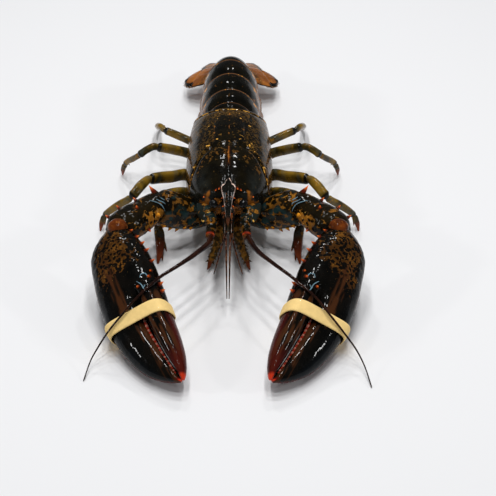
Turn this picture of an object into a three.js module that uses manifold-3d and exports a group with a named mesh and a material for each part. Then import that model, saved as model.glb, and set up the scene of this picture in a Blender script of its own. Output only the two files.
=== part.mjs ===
// A life-size American lobster (Homarus americanus) of about 0.9 kg, lying on a flat surface with its banded
// claws stretched forward, its abdomen arched and its tail fan spread behind it.
//
// Frame: millimetres, +Z up. The animal faces -Y, its own left is +X, and the ground is z = 0.
// While it is modelled, y = 0 is the hind edge of the carapace. The finished group is then moved so that
// the origin is the bottom centre of its bounding box.
//
// Paired parts are written once, as distances out from the midline, and mirrored for the right side.

import * as THREE from "three";
import { mergeVertices } from "three/addons/utils/BufferGeometryUtils.js";
import Module from "manifold-3d";

const wasm = await Module();
wasm.setup();

// Driving dimensions

const GAP = 0.3; // clearance between touching pieces
const CARAPACE_LENGTH = 92; // hind edge to the orbits, along the back
const BACK_HEIGHT = 60; // top of the carapace's hind edge above the ground
const ROSTRUM_TIP = -129;
const EYE = { out: 9.6, y: -97.8, z: 50.2, radius: 2.9 };
const CLAW_LENGTH = 123;
const WRIST = { out: 71, y: -113.4, z: 40.2 }; // middle of the joint between carpus and claw
const CLAW_ROLL = 30; // degrees by which the claw's inner edge is raised
const CLAW_TIP = { out: 26.4, y: -223.9, z: 13 };
const SIDES = { left: 1, right: -1 };

const COLOURS = {
  shell: { color: 0x2a2a20, roughness: 0.25 },
  leg: { color: 0x57471c, roughness: 0.35 },
  fan: { color: 0x8a5427, roughness: 0.4 },
  feeler: { color: 0x4a2018, roughness: 0.35 },
  eye: { color: 0x050505, roughness: 0.1 },
  band: { color: 0xe2bf7f, roughness: 0.6 },
};

// Curves and solids

const vec = (x, y, z) => new THREE.Vector3(x, y, z);
const radians = THREE.MathUtils.degToRad;
const clamp = THREE.MathUtils.clamp;
const smoothstep = THREE.MathUtils.smoothstep;
const power = (value, exponent) => Math.sign(value) * Math.abs(value) ** exponent;
const hump = (distance, width) => Math.exp(-((distance / width) ** 2));

// A smooth curve through rows [t, ...values] that never overshoots them (monotone cubic).
function smooth(rows) {
  const last = rows.length - 1;
  const step = (i) => rows[i + 1][0] - rows[i][0];
  const slope = (i, k) => (rows[i + 1][k] - rows[i][k]) / step(i);
  const tangent = (i, k) => {
    if (i === 0) return slope(0, k);
    if (i === last) return slope(last - 1, k);
    const before = slope(i - 1, k);
    const after = slope(i, k);
    return before * after <= 0 ? 0 : (2 * before * after) / (before + after);
  };
  return (t) => {
    const at = clamp(t, rows[0][0], rows[last][0]);
    let i = 0;
    while (i < last - 1 && at > rows[i + 1][0]) i += 1;
    const h = step(i);
    const u = (at - rows[i][0]) / h;
    return rows[i].slice(1).map((low, j) => {
      const k = j + 1;
      return (
        low * (1 + 2 * u) * (1 - u) ** 2 +
        rows[i + 1][k] * u * u * (3 - 2 * u) +
        tangent(i, k) * h * u * (1 - u) ** 2 -
        tangent(i + 1, k) * h * u * u * (1 - u)
      );
    });
  };
}

// A three.js geometry as a solid with its faces outwards. A side of -1 mirrors it to the animal's right.
function solidOf(geometry, side = 1) {
  const bare = new THREE.BufferGeometry();
  bare.setAttribute("position", geometry.getAttribute("position").clone());
  if (geometry.index) bare.setIndex(geometry.index.clone());
  bare.scale(side, 1, 1);
  const merged = mergeVertices(bare, 1e-5);
  const vertProperties = merged.attributes.position.array;
  const triVerts = new Uint32Array(merged.index.array);
  const build = () => new wasm.Manifold(new wasm.Mesh({ numProp: 3, vertProperties, triVerts }));
  const solid = build();
  if (solid.volume() > 0) return solid;
  triVerts.reverse();
  return build();
}

// A closed skin over rings of points, with both ends capped.
function skin(rings, side = 1) {
  const sides = rings[0].length;
  const middle = (ring) => ring.reduce((sum, p) => sum.add(p), vec(0, 0, 0)).divideScalar(sides);
  const points = [...rings.flat(), middle(rings[0]), middle(rings.at(-1))];
  const first = rings.length * sides;
  const index = [];
  for (let i = 0; i < sides; i++) {
    const next = (i + 1) % sides;
    for (let r = 0; r < rings.length - 1; r++) {
      const a = r * sides + i;
      const b = r * sides + next;
      index.push(a, b, a + sides, b, b + sides, a + sides);
    }
    index.push(first, next, i);
    index.push(first + 1, first - sides + i, first - sides + next);
  }
  return solidOf(new THREE.BufferGeometry().setFromPoints(points).setIndex(index), side);
}

// A tapering limb or blade through rows [out, y, z, half width, half height]. `across` is its width
// direction, `corner` the exponent of its section: 2 is an ellipse and more is boxier.
function limb(rows, { across, sides = 8, steps = 10, corner = 2.2 } = {}) {
  const distance = [0];
  for (let i = 1; i < rows.length; i++)
    distance.push(distance[i - 1] + vec(...rows[i]).distanceTo(vec(...rows[i - 1])));
  const run = smooth(rows.map((row, i) => [distance[i], ...row]));
  const length = distance.at(-1);
  const whole = vec(...rows.at(-1)).sub(vec(...rows[0]));
  const width = across ?? vec(-whole.y, whole.x, 0).normalize();
  const frame = (s) => {
    const reach = 0.02 * length;
    const along = vec(...run(s + reach)).sub(vec(...run(s - reach))).normalize();
    const up = vec(0, 0, 0).crossVectors(along, width).normalize();
    return { along, up, wide: vec(0, 0, 0).crossVectors(up, along), centre: vec(...run(s)) };
  };
  // The surface point at distance s along the limb and at an angle round it, 0 on top and 90 outwards.
  const at = (s, degrees, grow = 0) => {
    const { along, up, wide, centre } = frame(s);
    const [a, b] = run(s).slice(3);
    const angle = radians(degrees);
    const end = s <= 0 ? -grow : s >= length ? grow : 0;
    return centre
      .addScaledVector(wide, (a + grow) * power(Math.sin(angle), 2 / corner))
      .addScaledVector(up, (b + grow) * power(Math.cos(angle), 2 / corner))
      .addScaledVector(along, end);
  };
  const solid = (side, grow = 0) => {
    const rings = [];
    for (let i = 0; i <= steps; i++) {
      const ring = [];
      for (let j = 0; j < sides; j++) ring.push(at((length * i) / steps, (360 * j) / sides, grow));
      rings.push(ring);
    }
    return skin(rings, side);
  };
  return { at, solid, frame, length };
}

// A spine that grows from a surface point, its root sunk by a third of its length.
function spine(root, direction, length, radius, side = 1, sides = 6) {
  const aim = direction.clone().normalize();
  const sunk = 0.35 * length;
  const cone = new THREE.ConeGeometry(radius, length + sunk, sides, 1);
  cone.translate(0, (length - sunk) / 2, 0);
  cone.applyQuaternion(new THREE.Quaternion().setFromUnitVectors(vec(0, 1, 0), aim));
  cone.translate(root.x, root.y, root.z);
  return solidOf(cone, side);
}

function ball(centre, radius, detail = 1, side = 1) {
  const geometry = new THREE.IcosahedronGeometry(radius, detail);
  return solidOf(geometry.translate(centre.x, centre.y, centre.z), side);
}

const unite = (solids) => wasm.Manifold.union(solids);

// The nodes, in the order in which they are made. Each is cut clear of those it meets, and of the ground.
const lobster = new THREE.Group();
const made = {};

function addNode(name, solid, material, neighbours = []) {
  const clear = neighbours.reduce((left, other) => left.subtract(other), solid).trimByPlane([0, 0, 1], 0);
  const pieces = clear.decompose().sort((a, b) => b.volume() - a.volume());
  const mesh = pieces[0].getMesh();
  const geometry = new THREE.BufferGeometry();
  geometry.setAttribute("position", new THREE.BufferAttribute(mesh.vertProperties, mesh.numProp));
  geometry.setIndex(new THREE.BufferAttribute(mesh.triVerts, 1));
  const look = new THREE.MeshStandardMaterial({ ...COLOURS[material], metalness: 0 });
  const node = new THREE.Mesh(geometry, look);
  node.name = name;
  lobster.add(node);
  made[name] = pieces[0];
}

// Carapace: an arched shell, widest behind its middle, crossed by the cervical groove

const CARAPACE = smooth([
  // forward from the hind edge, half width, top, widest level, lower edge
  [0, 25.4, BACK_HEIGHT, 38, 24],
  [8, 27.2, 61.8, 37, 20],
  [22, 28.9, 63.6, 35.5, 18],
  [40, 29.4, 64.6, 34.5, 17.5],
  [56, 29, 64.6, 34, 17.5],
  [70, 27.4, 63.2, 34.5, 20.5],
  [82, 24.6, 61, 37, 25],
  [CARAPACE_LENGTH, 19.5, 58.6, 41, 31],
  [95.5, 13, 57.4, 43, 35.5],
  [97, 6, 56.4, 45, 40],
]);
const CERVICAL_GROOVE = smooth([
  // degrees round from the top, place forward of the hind edge, depth
  [0, 52, 1.5],
  [20, 52.5, 1.6],
  [50, 57, 1.5],
  [80, 66, 1.2],
  [110, 78, 0.6],
  [180, 86, 0],
]);
const HIND_LOBE = 9; // how far the hind edge reaches back at the sides
const CARAPACE_STATIONS = [0, 5, 13, 24, 36, 46, 50, 54, 60, 67, 75, 83, 90, 92, 95.5, 97];

function carapacePoint(forward, degrees, grow = 0) {
  const [wide, top, middle, low] = CARAPACE(forward);
  const angle = radians(degrees);
  const up = Math.cos(angle);
  const half = up > 0 ? top - middle : middle - low;
  const corner = up > 0 ? 2.15 : 2.9;
  const [groove, depth] = CERVICAL_GROOVE(degrees > 180 ? 360 - degrees : degrees);
  const inset = depth * hump(forward - groove, 2.6);
  const x = (wide - inset + grow) * power(Math.sin(angle), 2 / corner);
  const z = middle + (half - inset + grow) * power(up, 2 / corner);
  const lobe = HIND_LOBE * smoothstep(top - z, 0, top - middle) * (1 - smoothstep(forward, 0, 30));
  const chin = 0.3 * Math.max(0, top - z) * smoothstep(forward, 70, 95);
  const end = forward <= 0 ? grow : forward >= 97 ? -grow : 0;
  return vec(x, -forward + lobe * (up > 0 ? 1 : 1 + 0.6 * up) + chin + end, z);
}

function carapaceShell(grow = 0) {
  const sides = 28;
  return skin(
    CARAPACE_STATIONS.map((forward) =>
      Array.from({ length: sides }, (_, i) => carapacePoint(forward, 360 - (360 * i) / sides, grow)),
    ).reverse(),
  );
}

const ROSTRUM = limb(
  [
    [0, -62, 63, 0.7, 0.7],
    [0, -72, 61.6, 1.6, 1.4],
    [0, -80, 60.2, 3.4, 1.7],
    [0, -88, 58.9, 4.8, 2.1],
    [0, -96, 58, 4.3, 2.3],
    [0, -106, 57.2, 2.7, 2],
    [0, -117, 56.7, 1.7, 1.5],
    [0, -125, 56.7, 1.1, 1],
    [0, ROSTRUM_TIP, 56.9, 0.5, 0.5],
  ],
  { across: vec(1, 0, 0), sides: 8, steps: 8, corner: 1.7 },
);
const HEAD_SPINES = [
  // out, y, z, direction out, forward and up, length, radius
  [3.2, -101.5, 57.6, 0.6, 0.8, 0.15, 2.8, 1],
  [2.5, -109.5, 56.9, 0.5, 0.85, 0.2, 2.6, 0.9],
  [1.9, -117, 56.6, 0.45, 0.88, 0.2, 2.2, 0.8],
  [5.6, -91, 57.4, 0.15, 0.95, 0.3, 4.4, 1.3],
  [7.6, -91.5, 56.6, 0.25, 0.95, 0.3, 4, 1.2],
  [15.6, -87.5, 49.5, 0.1, 0.98, 0.1, 5, 1.6],
];

function headSpines(side) {
  return HEAD_SPINES.map(([out, y, z, aimOut, aimAhead, aimUp, length, radius]) =>
    spine(vec(out, y, z), vec(aimOut, -aimAhead, aimUp), length, radius, side),
  );
}

const ORBIT = ball(vec(EYE.out + 1.2, EYE.y - 0.6, EYE.z), EYE.radius + 2.3, 1);
addNode(
  "carapace",
  unite([
    carapaceShell().subtract(unite([ORBIT, ORBIT.mirror([1, 0, 0])])),
    ROSTRUM.solid(1),
    ...headSpines(1),
    ...headSpines(-1),
  ]),
  "shell",
);
const carapaceGrown = unite([
  carapaceShell(GAP).subtract(unite([ORBIT, ORBIT.mirror([1, 0, 0])])),
  ROSTRUM.solid(1, GAP),
]);

// Sternum: the narrow keel between the legs

const STERNUM = limb(
  [
    [0, 4, 17, 7, 5],
    [0, -12, 15.5, 8.5, 6],
    [0, -34, 14.5, 9.5, 6.5],
    [0, -56, 15, 10, 7],
    [0, -72, 17.5, 9, 7],
    [0, -80, 21, 7, 6],
  ],
  { across: vec(1, 0, 0), sides: 10, steps: 6, corner: 2.6 },
);
addNode("sternum", STERNUM.solid(1), "leg", [carapaceGrown]);
const trunkGrown = unite([carapaceGrown, STERNUM.solid(1, GAP)]);

// Abdomen: six rings, each slightly covering the front of the next, with pleura down the sides

const ABDOMEN_START = { y: 2.5, z: BACK_HEIGHT - 1.4 };
const SEGMENTS = [
  // length along the back, slope down in degrees, half width, heights above and below the widest level
  { length: 7.5, slope: 0, half: 20.6, upper: 29, lower: 4, pleuron: 0, swimmeret: 0 },
  { length: 16.5, slope: -3, half: 21.8, upper: 31, lower: 5, pleuron: 7.5, swimmeret: 14 },
  { length: 20, slope: -2, half: 21.5, upper: 31, lower: 5, pleuron: 7.5, swimmeret: 14 },
  { length: 19, slope: 1, half: 20.4, upper: 30, lower: 5, pleuron: 7.5, swimmeret: 13 },
  { length: 18, slope: 25, half: 17.8, upper: 26, lower: 5, pleuron: 7, swimmeret: 10 },
  { length: 21, slope: 44, half: 14.8, upper: 20, lower: 5, pleuron: 5, swimmeret: 0 },
];
const SEGMENT_SWELL = smooth([
  // share of the length, scale of the section
  [-0.35, 0.86],
  [0, 0.94],
  [0.12, 0.965],
  [0.5, 1],
  [0.88, 1],
  [1, 0.985],
]);
const SEGMENT_BOW = 7; // degrees by which each ring's back is itself bent

let cursor = { y: ABDOMEN_START.y, z: ABDOMEN_START.z };
for (const segment of SEGMENTS) {
  segment.start = cursor;
  const slope = radians(segment.slope);
  cursor = {
    y: cursor.y + segment.length * Math.cos(slope),
    z: cursor.z - segment.length * Math.sin(slope),
  };
}

// A point of a ring: share 0 to 1 of its length, angle round it from the top, scaled by its swell.
function segmentPoint(segment, share, degrees, grow = 0) {
  const slope = radians(segment.slope);
  const along = vec(0, Math.cos(slope), -Math.sin(slope));
  const up = vec(0, Math.sin(slope), Math.cos(slope));
  const [swell] = SEGMENT_SWELL(share);
  const angle = radians(degrees);
  const cosine = Math.cos(angle);
  const half = (cosine > 0 ? segment.upper : segment.lower) * swell;
  const corner = cosine > 0 ? 2 : 4;
  const bow = segment.length * Math.tan(radians(SEGMENT_BOW)) * share * (1 - share);
  const end = share <= -0.35 ? -grow : share >= 1 ? grow : 0;
  return vec(0, segment.start.y, segment.start.z)
    .addScaledVector(along, share * segment.length + end)
    .addScaledVector(up, -segment.upper + (half + grow) * power(cosine, 2 / corner) + bow)
    .add(vec((segment.half * swell + grow) * power(Math.sin(angle), 2 / corner), 0, 0));
}

function segmentRing(segment, grow = 0) {
  const sides = 20;
  const shares = [-0.35, 0.12, 0.5, 1];
  return skin(
    shares.map((share) =>
      Array.from({ length: sides }, (_, i) => segmentPoint(segment, share, 360 - (360 * i) / sides, grow)),
    ),
  );
}

// The pleuron hangs from the ring's side, drawn back to a point.
function pleuron(segment, side, grow = 0) {
  const slope = radians(segment.slope);
  const along = vec(0, Math.cos(slope), -Math.sin(slope));
  const up = vec(0, Math.sin(slope), Math.cos(slope));
  const root = segmentPoint(segment, 0.5, 96);
  const place = (down, back, out) => {
    const point = root.clone().add(vec(out, 0, 0));
    point.addScaledVector(up, -down * segment.pleuron);
    return point.addScaledVector(along, back * segment.length).toArray();
  };
  return limb(
    [
      [...place(-0.8, 0.02, -1.8), 0.42 * segment.length, 1.5],
      [...place(0, 0.03, -0.2), 0.42 * segment.length, 1.5],
      [...place(0.5, 0.1, 1.8), 0.32 * segment.length, 1.2],
      [...place(0.85, 0.22, 2.1), 0.16 * segment.length, 0.9],
      [...place(1, 0.3, 2), 0.05 * segment.length, 0.5],
    ],
    { across: along, sides: 6, steps: 4, corner: 2 },
  ).solid(side, grow);
}

function swimmeret(segment, side) {
  const root = segmentPoint(segment, 0.55, 150);
  const long = segment.swimmeret;
  return limb(
    [
      [root.x, root.y, root.z + 3, 1.6, 1.2],
      [root.x, root.y, root.z - 1, 2.2, 1.1],
      [root.x + 0.5, root.y + 0.15 * long, root.z - 0.35 * long, 3.6, 0.7],
      [root.x + 0.8, root.y + 0.4 * long, root.z - 0.7 * long, 3.2, 0.6],
      [root.x + 0.8, root.y + 0.6 * long, root.z - 0.9 * long, 0.8, 0.4],
    ],
    { across: vec(1, 0, 0), sides: 6, steps: 4, corner: 2 },
  ).solid(side);
}

let aheadGrown = carapaceGrown;
const segmentGrown = [];
SEGMENTS.forEach((segment, i) => {
  const parts = [segmentRing(segment)];
  const grown = [segmentRing(segment, GAP)];
  for (const side of Object.values(SIDES)) {
    if (segment.pleuron) {
      parts.push(pleuron(segment, side));
      grown.push(pleuron(segment, side, GAP));
    }
    if (segment.swimmeret) parts.push(swimmeret(segment, side));
  }
  addNode("abdomen_" + (i + 1), unite(parts), "shell", [aheadGrown, trunkGrown]);
  aheadGrown = unite(grown);
  segmentGrown.push(aheadGrown);
});
const lastRingGrown = aheadGrown;

// Tail fan: the telson and, on each side, two blades that slope down behind the last ring

const TELSON = limb(
  [
    [0, 92, 34, 8, 4],
    [0, 98, 31, 9.2, 4.2],
    [0, 106, 26.5, 9.8, 3],
    [0, 116, 20.5, 9.4, 2.2],
    [0, 124, 15.8, 8, 1.7],
    [0, 129.5, 12.6, 5, 1.3],
    [0, 131.5, 11.6, 2.2, 1],
  ],
  { across: vec(1, 0, 0), sides: 8, steps: 8, corner: 2.3 },
);
const INNER_BLADE = limb(
  [
    [6, 93, 28, 3, 2.6],
    [8, 99, 26, 5, 2],
    [10.5, 108, 22.5, 7.5, 1.5],
    [12.8, 117, 19.3, 8.8, 1.3],
    [14.6, 124.5, 16.8, 8, 1.1],
    [15.8, 129.5, 15.2, 5.4, 0.9],
    [16.4, 132, 14.4, 2.4, 0.8],
  ],
  { across: vec(0.95, -0.28, -0.12), sides: 8, steps: 8, corner: 2.3 },
);
const OUTER_BLADE = limb(
  [
    [8, 94, 26, 3, 2.6],
    [12.5, 99, 24, 8, 2],
    [18, 104, 20.8, 11.5, 1.6],
    [24, 108.5, 17, 12.3, 1.4],
    [29.5, 111.5, 13.8, 10, 1.2],
    [33, 113, 11.8, 6, 1],
    [34.8, 113.6, 10.8, 2.2, 0.8],
  ],
  { across: vec(0.56, -0.8, -0.2), sides: 8, steps: 8, corner: 2.3 },
);
addNode("telson", TELSON.solid(1), "fan", [lastRingGrown]);

// Head and limbs of one side

const EYESTALK = limb(
  [
    [3.5, -88, 49.5, 2.2, 2.2],
    [6, -93.5, 50.2, 2.5, 2.4],
    [8.6, -97.2, EYE.z, 2.6, 2.5],
  ],
  { sides: 8, steps: 3 },
);
const ANTENNULE_BASE = limb(
  [
    [2.9, -91, 49, 2.2, 2.4],
    [2.6, -102, 48, 1.9, 2],
    [2.2, -112, 45.6, 1.6, 1.7],
    [1.9, -121, 43, 1.3, 1.3],
  ],
  { across: vec(1, 0, 0), sides: 8, steps: 5 },
);
const ANTENNULE_OUTER = limb(
  [
    [2.1, -118, 44.2, 0.85, 0.85],
    [2.9, -125, 42, 0.7, 0.7],
    [5.6, -131, 33.5, 0.55, 0.55],
    [9.2, -136.2, 22.5, 0.35, 0.35],
  ],
  { sides: 5, steps: 5, across: vec(1, 0, 0) },
);
const ANTENNULE_INNER = limb(
  [
    [1.6, -119, 43.8, 0.85, 0.85],
    [1.35, -127, 41, 0.75, 0.75],
    [1, -138, 28.5, 0.6, 0.6],
    [0.7, -150.5, 14, 0.3, 0.3],
  ],
  { sides: 5, steps: 5, across: vec(1, 0, 0) },
);
const ANTENNA_BASE = limb(
  [
    [13.2, -84, 37, 4.8, 5.4],
    [13.4, -90, 39.8, 5, 5.2],
    [12.6, -96, 40.6, 4.4, 4.5],
    [11.4, -101, 39.4, 3.7, 3.9],
    [10.9, -105.5, 37.6, 3.3, 3.5],
    [11.5, -110.5, 36.3, 3, 3.1],
    [12, -114.5, 35.8, 2.8, 2.9],
  ],
  { across: vec(1, 0, 0), sides: 10, steps: 9 },
);
const ANTENNA_SCALE = limb(
  [
    [18.2, -82, 41, 2.6, 1.4],
    [18.6, -88, 42.2, 3.4, 1.2],
    [18, -95, 42, 3.2, 1],
    [16.8, -101, 41, 2, 0.8],
    [16.2, -104, 40.4, 0.6, 0.5],
  ],
  { across: vec(0.85, 0, -0.53), sides: 8, steps: 6 },
);
const MAXILLIPED = limb(
  [
    [5.6, -76, 21, 3.2, 4],
    [5.8, -84, 23, 3.6, 4.2],
    [6, -90, 21.5, 3.4, 3.8],
    [7.8, -95, 15.5, 3.1, 3.3],
    [8.6, -96.5, 13.4, 2.6, 2.8],
    [10.6, -100.5, 9.6, 2.5, 2.6],
    [12.4, -104, 6, 1.5, 1.6],
    [14, -107, 3, 0.5, 0.5],
  ],
  { across: vec(1, 0, 0), sides: 8, steps: 10 },
);

// The long antennae reach over the claws, rest across their bands and drop to the ground.
const ANTENNA_PATH = {
  right: [
    [12.2, -112.5, 36, 2.1, 2.1],
    [11.9, -118.5, 36.3, 2, 2],
    [19.9, -134, 38, 1.7, 1.7],
    [30.9, -148.7, 39.6, 1.3, 1.3],
    [42.6, -162.4, 40.6, 1.1, 1.1],
    [48.7, -171, 40.4, 1, 1],
    [55.9, -176.7, 36.1, 0.85, 0.85],
    [64.4, -183.3, 28.8, 0.75, 0.75],
    [73.1, -188.4, 19.4, 0.65, 0.65],
    [79.2, -193.9, 11.8, 0.55, 0.55],
    [83.8, -200.3, 6, 0.45, 0.45],
    [87.4, -212, 0.7, 0.4, 0.4],
  ],
  left: [
    [12.2, -112.5, 36, 2.1, 2.1],
    [13.4, -117.5, 36.3, 2, 2],
    [18.2, -130.4, 37.6, 1.75, 1.75],
    [27.8, -145.4, 39.4, 1.35, 1.35],
    [40.5, -162.2, 40.6, 1.1, 1.1],
    [46.4, -171, 41, 1, 1],
    [53.2, -175.9, 37.6, 0.85, 0.85],
    [63.4, -184.7, 28.8, 0.75, 0.75],
    [72.1, -190.1, 19, 0.65, 0.65],
    [79, -196, 11.4, 0.55, 0.55],
    [83.9, -204.7, 5.6, 0.45, 0.45],
    [87.6, -218, 0.7, 0.4, 0.4],
  ],
};

// Cheliped: arm (merus), wrist (carpus), claw (propodus) and its movable finger (dactyl)

const ARM = limb(
  [
    [11, -62, 15.5, 5.5, 6],
    [18, -70, 20.5, 7.5, 8.5],
    [26, -78, 27.5, 9.4, 10.8],
    [36, -83, 33.5, 10.4, 12],
    [43.5, -84.5, 37, 10.6, 12.4],
    [47, -85.5, 38.4, 8.5, 10.2],
  ],
  { across: vec(0.45, 0.9, 0), sides: 10, steps: 6 },
);
const FOREARM = limb(
  [
    [43, -83, 38.5, 6.8, 8],
    [48.5, -87.5, 39.2, 9.2, 9.8],
    [56.5, -96.5, 39.4, 10.4, 10],
    [63, -104, 39.8, 11.4, 10.8],
    [68.5, -110, 39.6, 10.6, 10.6],
    [71.5, -115.5, 38.4, 8, 8.2],
  ],
  { across: vec(0.75, 0.66, 0), sides: 10, steps: 7 },
);
const ARM_SPINES = [
  // distance along, degrees round, length, radius, lean forward
  [26, 236, 2.4, 1.4, 0.35],
  [31, 238, 2.2, 1.3, 0.35],
  [33.5, 212, 2.6, 1.4, 0.35],
  [38, 214, 2.8, 1.5, 0.35],
  [43, 226, 2.2, 1.4, 0.35],
];
const FOREARM_SPINES = [
  // distance along, degrees round, length, radius, lean forward
  [4.5, 27, 6.2, 2.4, 0.6],
  [17, 42, 2.8, 1.6, 0.35],
  [26, 350, 2.4, 1.6, 0.35],
  [31, 47, 3, 1.7, 0.35],
  [38, 58, 2.8, 1.6, 0.35],
  [24, 254, 3, 1.7, 0.35],
  [36.5, 262, 2, 1.4, 0.35],
];
const WRIST_KNOB = { out: 70.5, y: -117, z: 45.6, radius: 5.8 };

function spinesOn(part, rows, side) {
  return rows.map(([s, degrees, length, radius, lean]) => {
    const root = part.at(s, degrees);
    const { centre, along } = part.frame(s);
    const aim = root.clone().sub(centre).normalize().addScaledVector(along, lean);
    return spine(root, aim, length, radius, side);
  });
}

// The claw lies in a plane: u runs to its tip, w to its inner edge and n out of its upper face.
function clawFrame() {
  const origin = vec(WRIST.out, WRIST.y, WRIST.z);
  const u = vec(CLAW_TIP.out, CLAW_TIP.y, CLAW_TIP.z).sub(origin).normalize();
  const level = vec(-1, 0, 0).addScaledVector(u, u.x).normalize();
  const upright = vec(0, 0, 0).crossVectors(level, u);
  const roll = radians(CLAW_ROLL);
  const w = level.clone().multiplyScalar(Math.cos(roll)).addScaledVector(upright, Math.sin(roll));
  const n = upright.clone().multiplyScalar(Math.cos(roll)).addScaledVector(level, -Math.sin(roll));
  return { origin, u, w, n };
}

const CLAW_FRAME = clawFrame();

const CLAW = smooth([
  // distance from the wrist, outer edge, inner edge, gap between the fingers, half thickness
  [-2, -5, 4.5, 0, 5],
  [2, -13, 6.5, 0, 8],
  [7, -19.5, 8.4, 0, 10.6],
  [15, -25, 10.4, 0, 12.6],
  [28, -28, 12.4, -0.5, 13.6],
  [40, -30.2, 12.8, -1, 13.6],
  [52, -31.4, 12, -2, 12.8],
  [66, -31.4, 10.6, -4.4, 11.6],
  [80, -29.4, 9.8, -4.9, 10.2],
  [95, -25.6, 9, -3.7, 8.4],
  [106, -20.5, 7.6, -2.5, 6.8],
  [115, -13.4, 5, -1.3, 5],
  [120, -7.6, 2.6, -0.8, 3.4],
  [CLAW_LENGTH, -3.2, 0.8, -0.5, 1.6],
]);
const CLAW_STATIONS = [-2, 2, 8, 17, 30, 42, 50, 56, 64, 74, 86, 97, 106, 113.5, 119.5, CLAW_LENGTH];
// Places across each finger from its edge (0) to the gap (1), where the surface has its points.
const FINGER_LANES = [0, 0.07, 0.26, 0.6, 0.88, 1];
const PINCH = 0.4; // share of the thickness that is left where the fingers meet

function clawHalf(share, corner = 2.5) {
  return (1 - Math.abs(share) ** corner) ** (1 / 2.1);
}

// A row across the claw: [w, n] pairs over the upper face from the outer edge to the inner one.
function clawRow(s, grow) {
  const [outer, inner, gap, thick] = CLAW(s);
  const split = smoothstep(s, 48, 64);
  const row = [];
  const add = (w) => {
    const palm = clawHalf(clamp((2 * w - outer - inner) / (inner - outer), -1, 1));
    const [low, high] = w <= gap ? [outer, gap + 0.1] : [gap - 0.1, inner];
    const finger = clawHalf(clamp((2 * w - low - high) / (high - low), -1, 1));
    const pinched = Math.max(finger, PINCH * palm);
    row.push([w, thick * THREE.MathUtils.lerp(palm, pinched, split)]);
  };
  for (const lane of FINGER_LANES) add(THREE.MathUtils.lerp(outer, gap, lane));
  for (const lane of FINGER_LANES.slice(1, -1).reverse()) add(THREE.MathUtils.lerp(inner, gap, lane));
  add(inner);
  return row.map(([w, n], i) => {
    const edge = i === 0 ? -grow : i === row.length - 1 ? grow : 0;
    return [w + edge, n + (edge ? 0 : grow)];
  });
}

function clawPlace(s, w, n) {
  const { origin, u, w: inward, n: up } = CLAW_FRAME;
  return origin.clone().addScaledVector(u, s).addScaledVector(inward, w).addScaledVector(up, n);
}

function wholeClaw(name, grow = 0) {
  const rings = CLAW_STATIONS.map((s) => {
    const upper = clawRow(s, grow);
    const lower = upper.slice(1, -1).reverse();
    const end = s <= -2 ? -grow : s >= CLAW_LENGTH ? grow : 0;
    return [
      ...upper.map(([w, n]) => clawPlace(s + end, w, n)),
      ...lower.map(([w, n]) => clawPlace(s + end, w, -0.9 * n)),
    ];
  });
  return skin(rings, SIDES[name]);
}

// The line that parts the movable finger from the rest, from its hinge on the inner edge to the tips.
const FINGER_LINE = [
  [52, 26],
  [53, 14],
  [54.5, 9],
  [57, 4.5],
  [60.5, 1],
  [64, -2],
  [69, -4.4],
  [80, -4.9],
  [95, -3.7],
  [106, -2.5],
  [115, -1.3],
  [130, -0.2],
];

const HINGE_END = 62; // distance at which the line turns along the claw

// Everything on the movable finger's side of the line, moved by `away` from it.
function fingerSide(name, away) {
  const shape = new THREE.Shape();
  FINGER_LINE.forEach(([s, w], i) => {
    const open = away * (1 + 1.6 * smoothstep(s, 60, 75) * (1 - smoothstep(s, 100, 116)));
    const point = [s + (s < HINGE_END ? away : 0), w + open];
    if (i === 0) shape.moveTo(...point);
    else shape.lineTo(...point);
  });
  shape.lineTo(130, 60);
  shape.lineTo(FINGER_LINE[0][0] + away, 60);
  const block = new THREE.ExtrudeGeometry(shape, { depth: 60, bevelEnabled: false }).translate(0, 0, -30);
  const basis = new THREE.Matrix4().makeBasis(CLAW_FRAME.u, CLAW_FRAME.w, CLAW_FRAME.n);
  basis.setPosition(CLAW_FRAME.origin);
  block.applyMatrix4(basis);
  return solidOf(block, SIDES[name]);
}

const CLAW_SPINES = [
  // along the inner edge: distance, length, radius
  [8, 2.6, 1.5],
  [15, 3, 1.6],
  [21.5, 3.6, 1.8],
  [28, 3.8, 1.8],
  [37.5, 3.8, 1.7],
];
const FINGER_SPINES = [
  [56, 4, 2.2],
  [61.5, 3.6, 2],
];
const HINGE_SPINES = [
  // distance along, across, length, radius
  [50.5, 9, 3, 1.8],
  [55, 1.2, 3, 1.6],
  [46, 11, 2.4, 1.4],
];
const TOOTH_ROW = { first: 66, last: 111, count: 10 };

function clawSpines(name, rows) {
  return rows.map(([s, length, radius]) => {
    const [, inner] = CLAW(s);
    const root = clawPlace(s, inner - 0.6, 2);
    const aim = CLAW_FRAME.w.clone().addScaledVector(CLAW_FRAME.n, 0.25).addScaledVector(CLAW_FRAME.u, 0.3);
    return spine(root, aim, length, radius, SIDES[name]);
  });
}

function hingeSpines(name) {
  return HINGE_SPINES.map(([s, w, length, radius]) => {
    const [outer, inner, , thick] = CLAW(s);
    const n = thick * clawHalf((2 * w - outer - inner) / (inner - outer));
    const aim = CLAW_FRAME.n.clone().addScaledVector(CLAW_FRAME.u, 0.5);
    return spine(clawPlace(s, w, n - 0.4), aim, length, radius, SIDES[name]);
  });
}

// Blunt teeth along the fixed finger's cutting edge, larger in the middle of the row.
function clawTeeth(name) {
  const { first, last, count } = TOOTH_ROW;
  return Array.from({ length: count }, (_, i) => {
    const share = i / (count - 1);
    const s = THREE.MathUtils.lerp(first, last, share);
    const [, , gap, thick] = CLAW(s);
    const radius = 1.15 + 0.45 * Math.sin(Math.PI * share) + (i % 2 ? 0.2 : -0.1);
    const centre = clawPlace(s, gap - 1.55, 0.3 * thick);
    return ball(centre, radius, 0, SIDES[name]);
  });
}

// The rubber band, stretched round both fingers between two slanting cuts
const BAND = { outer: [64.5, 73.5], inner: [69.3, 78.3], clear: 0.6, thick: 0.8 };

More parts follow.
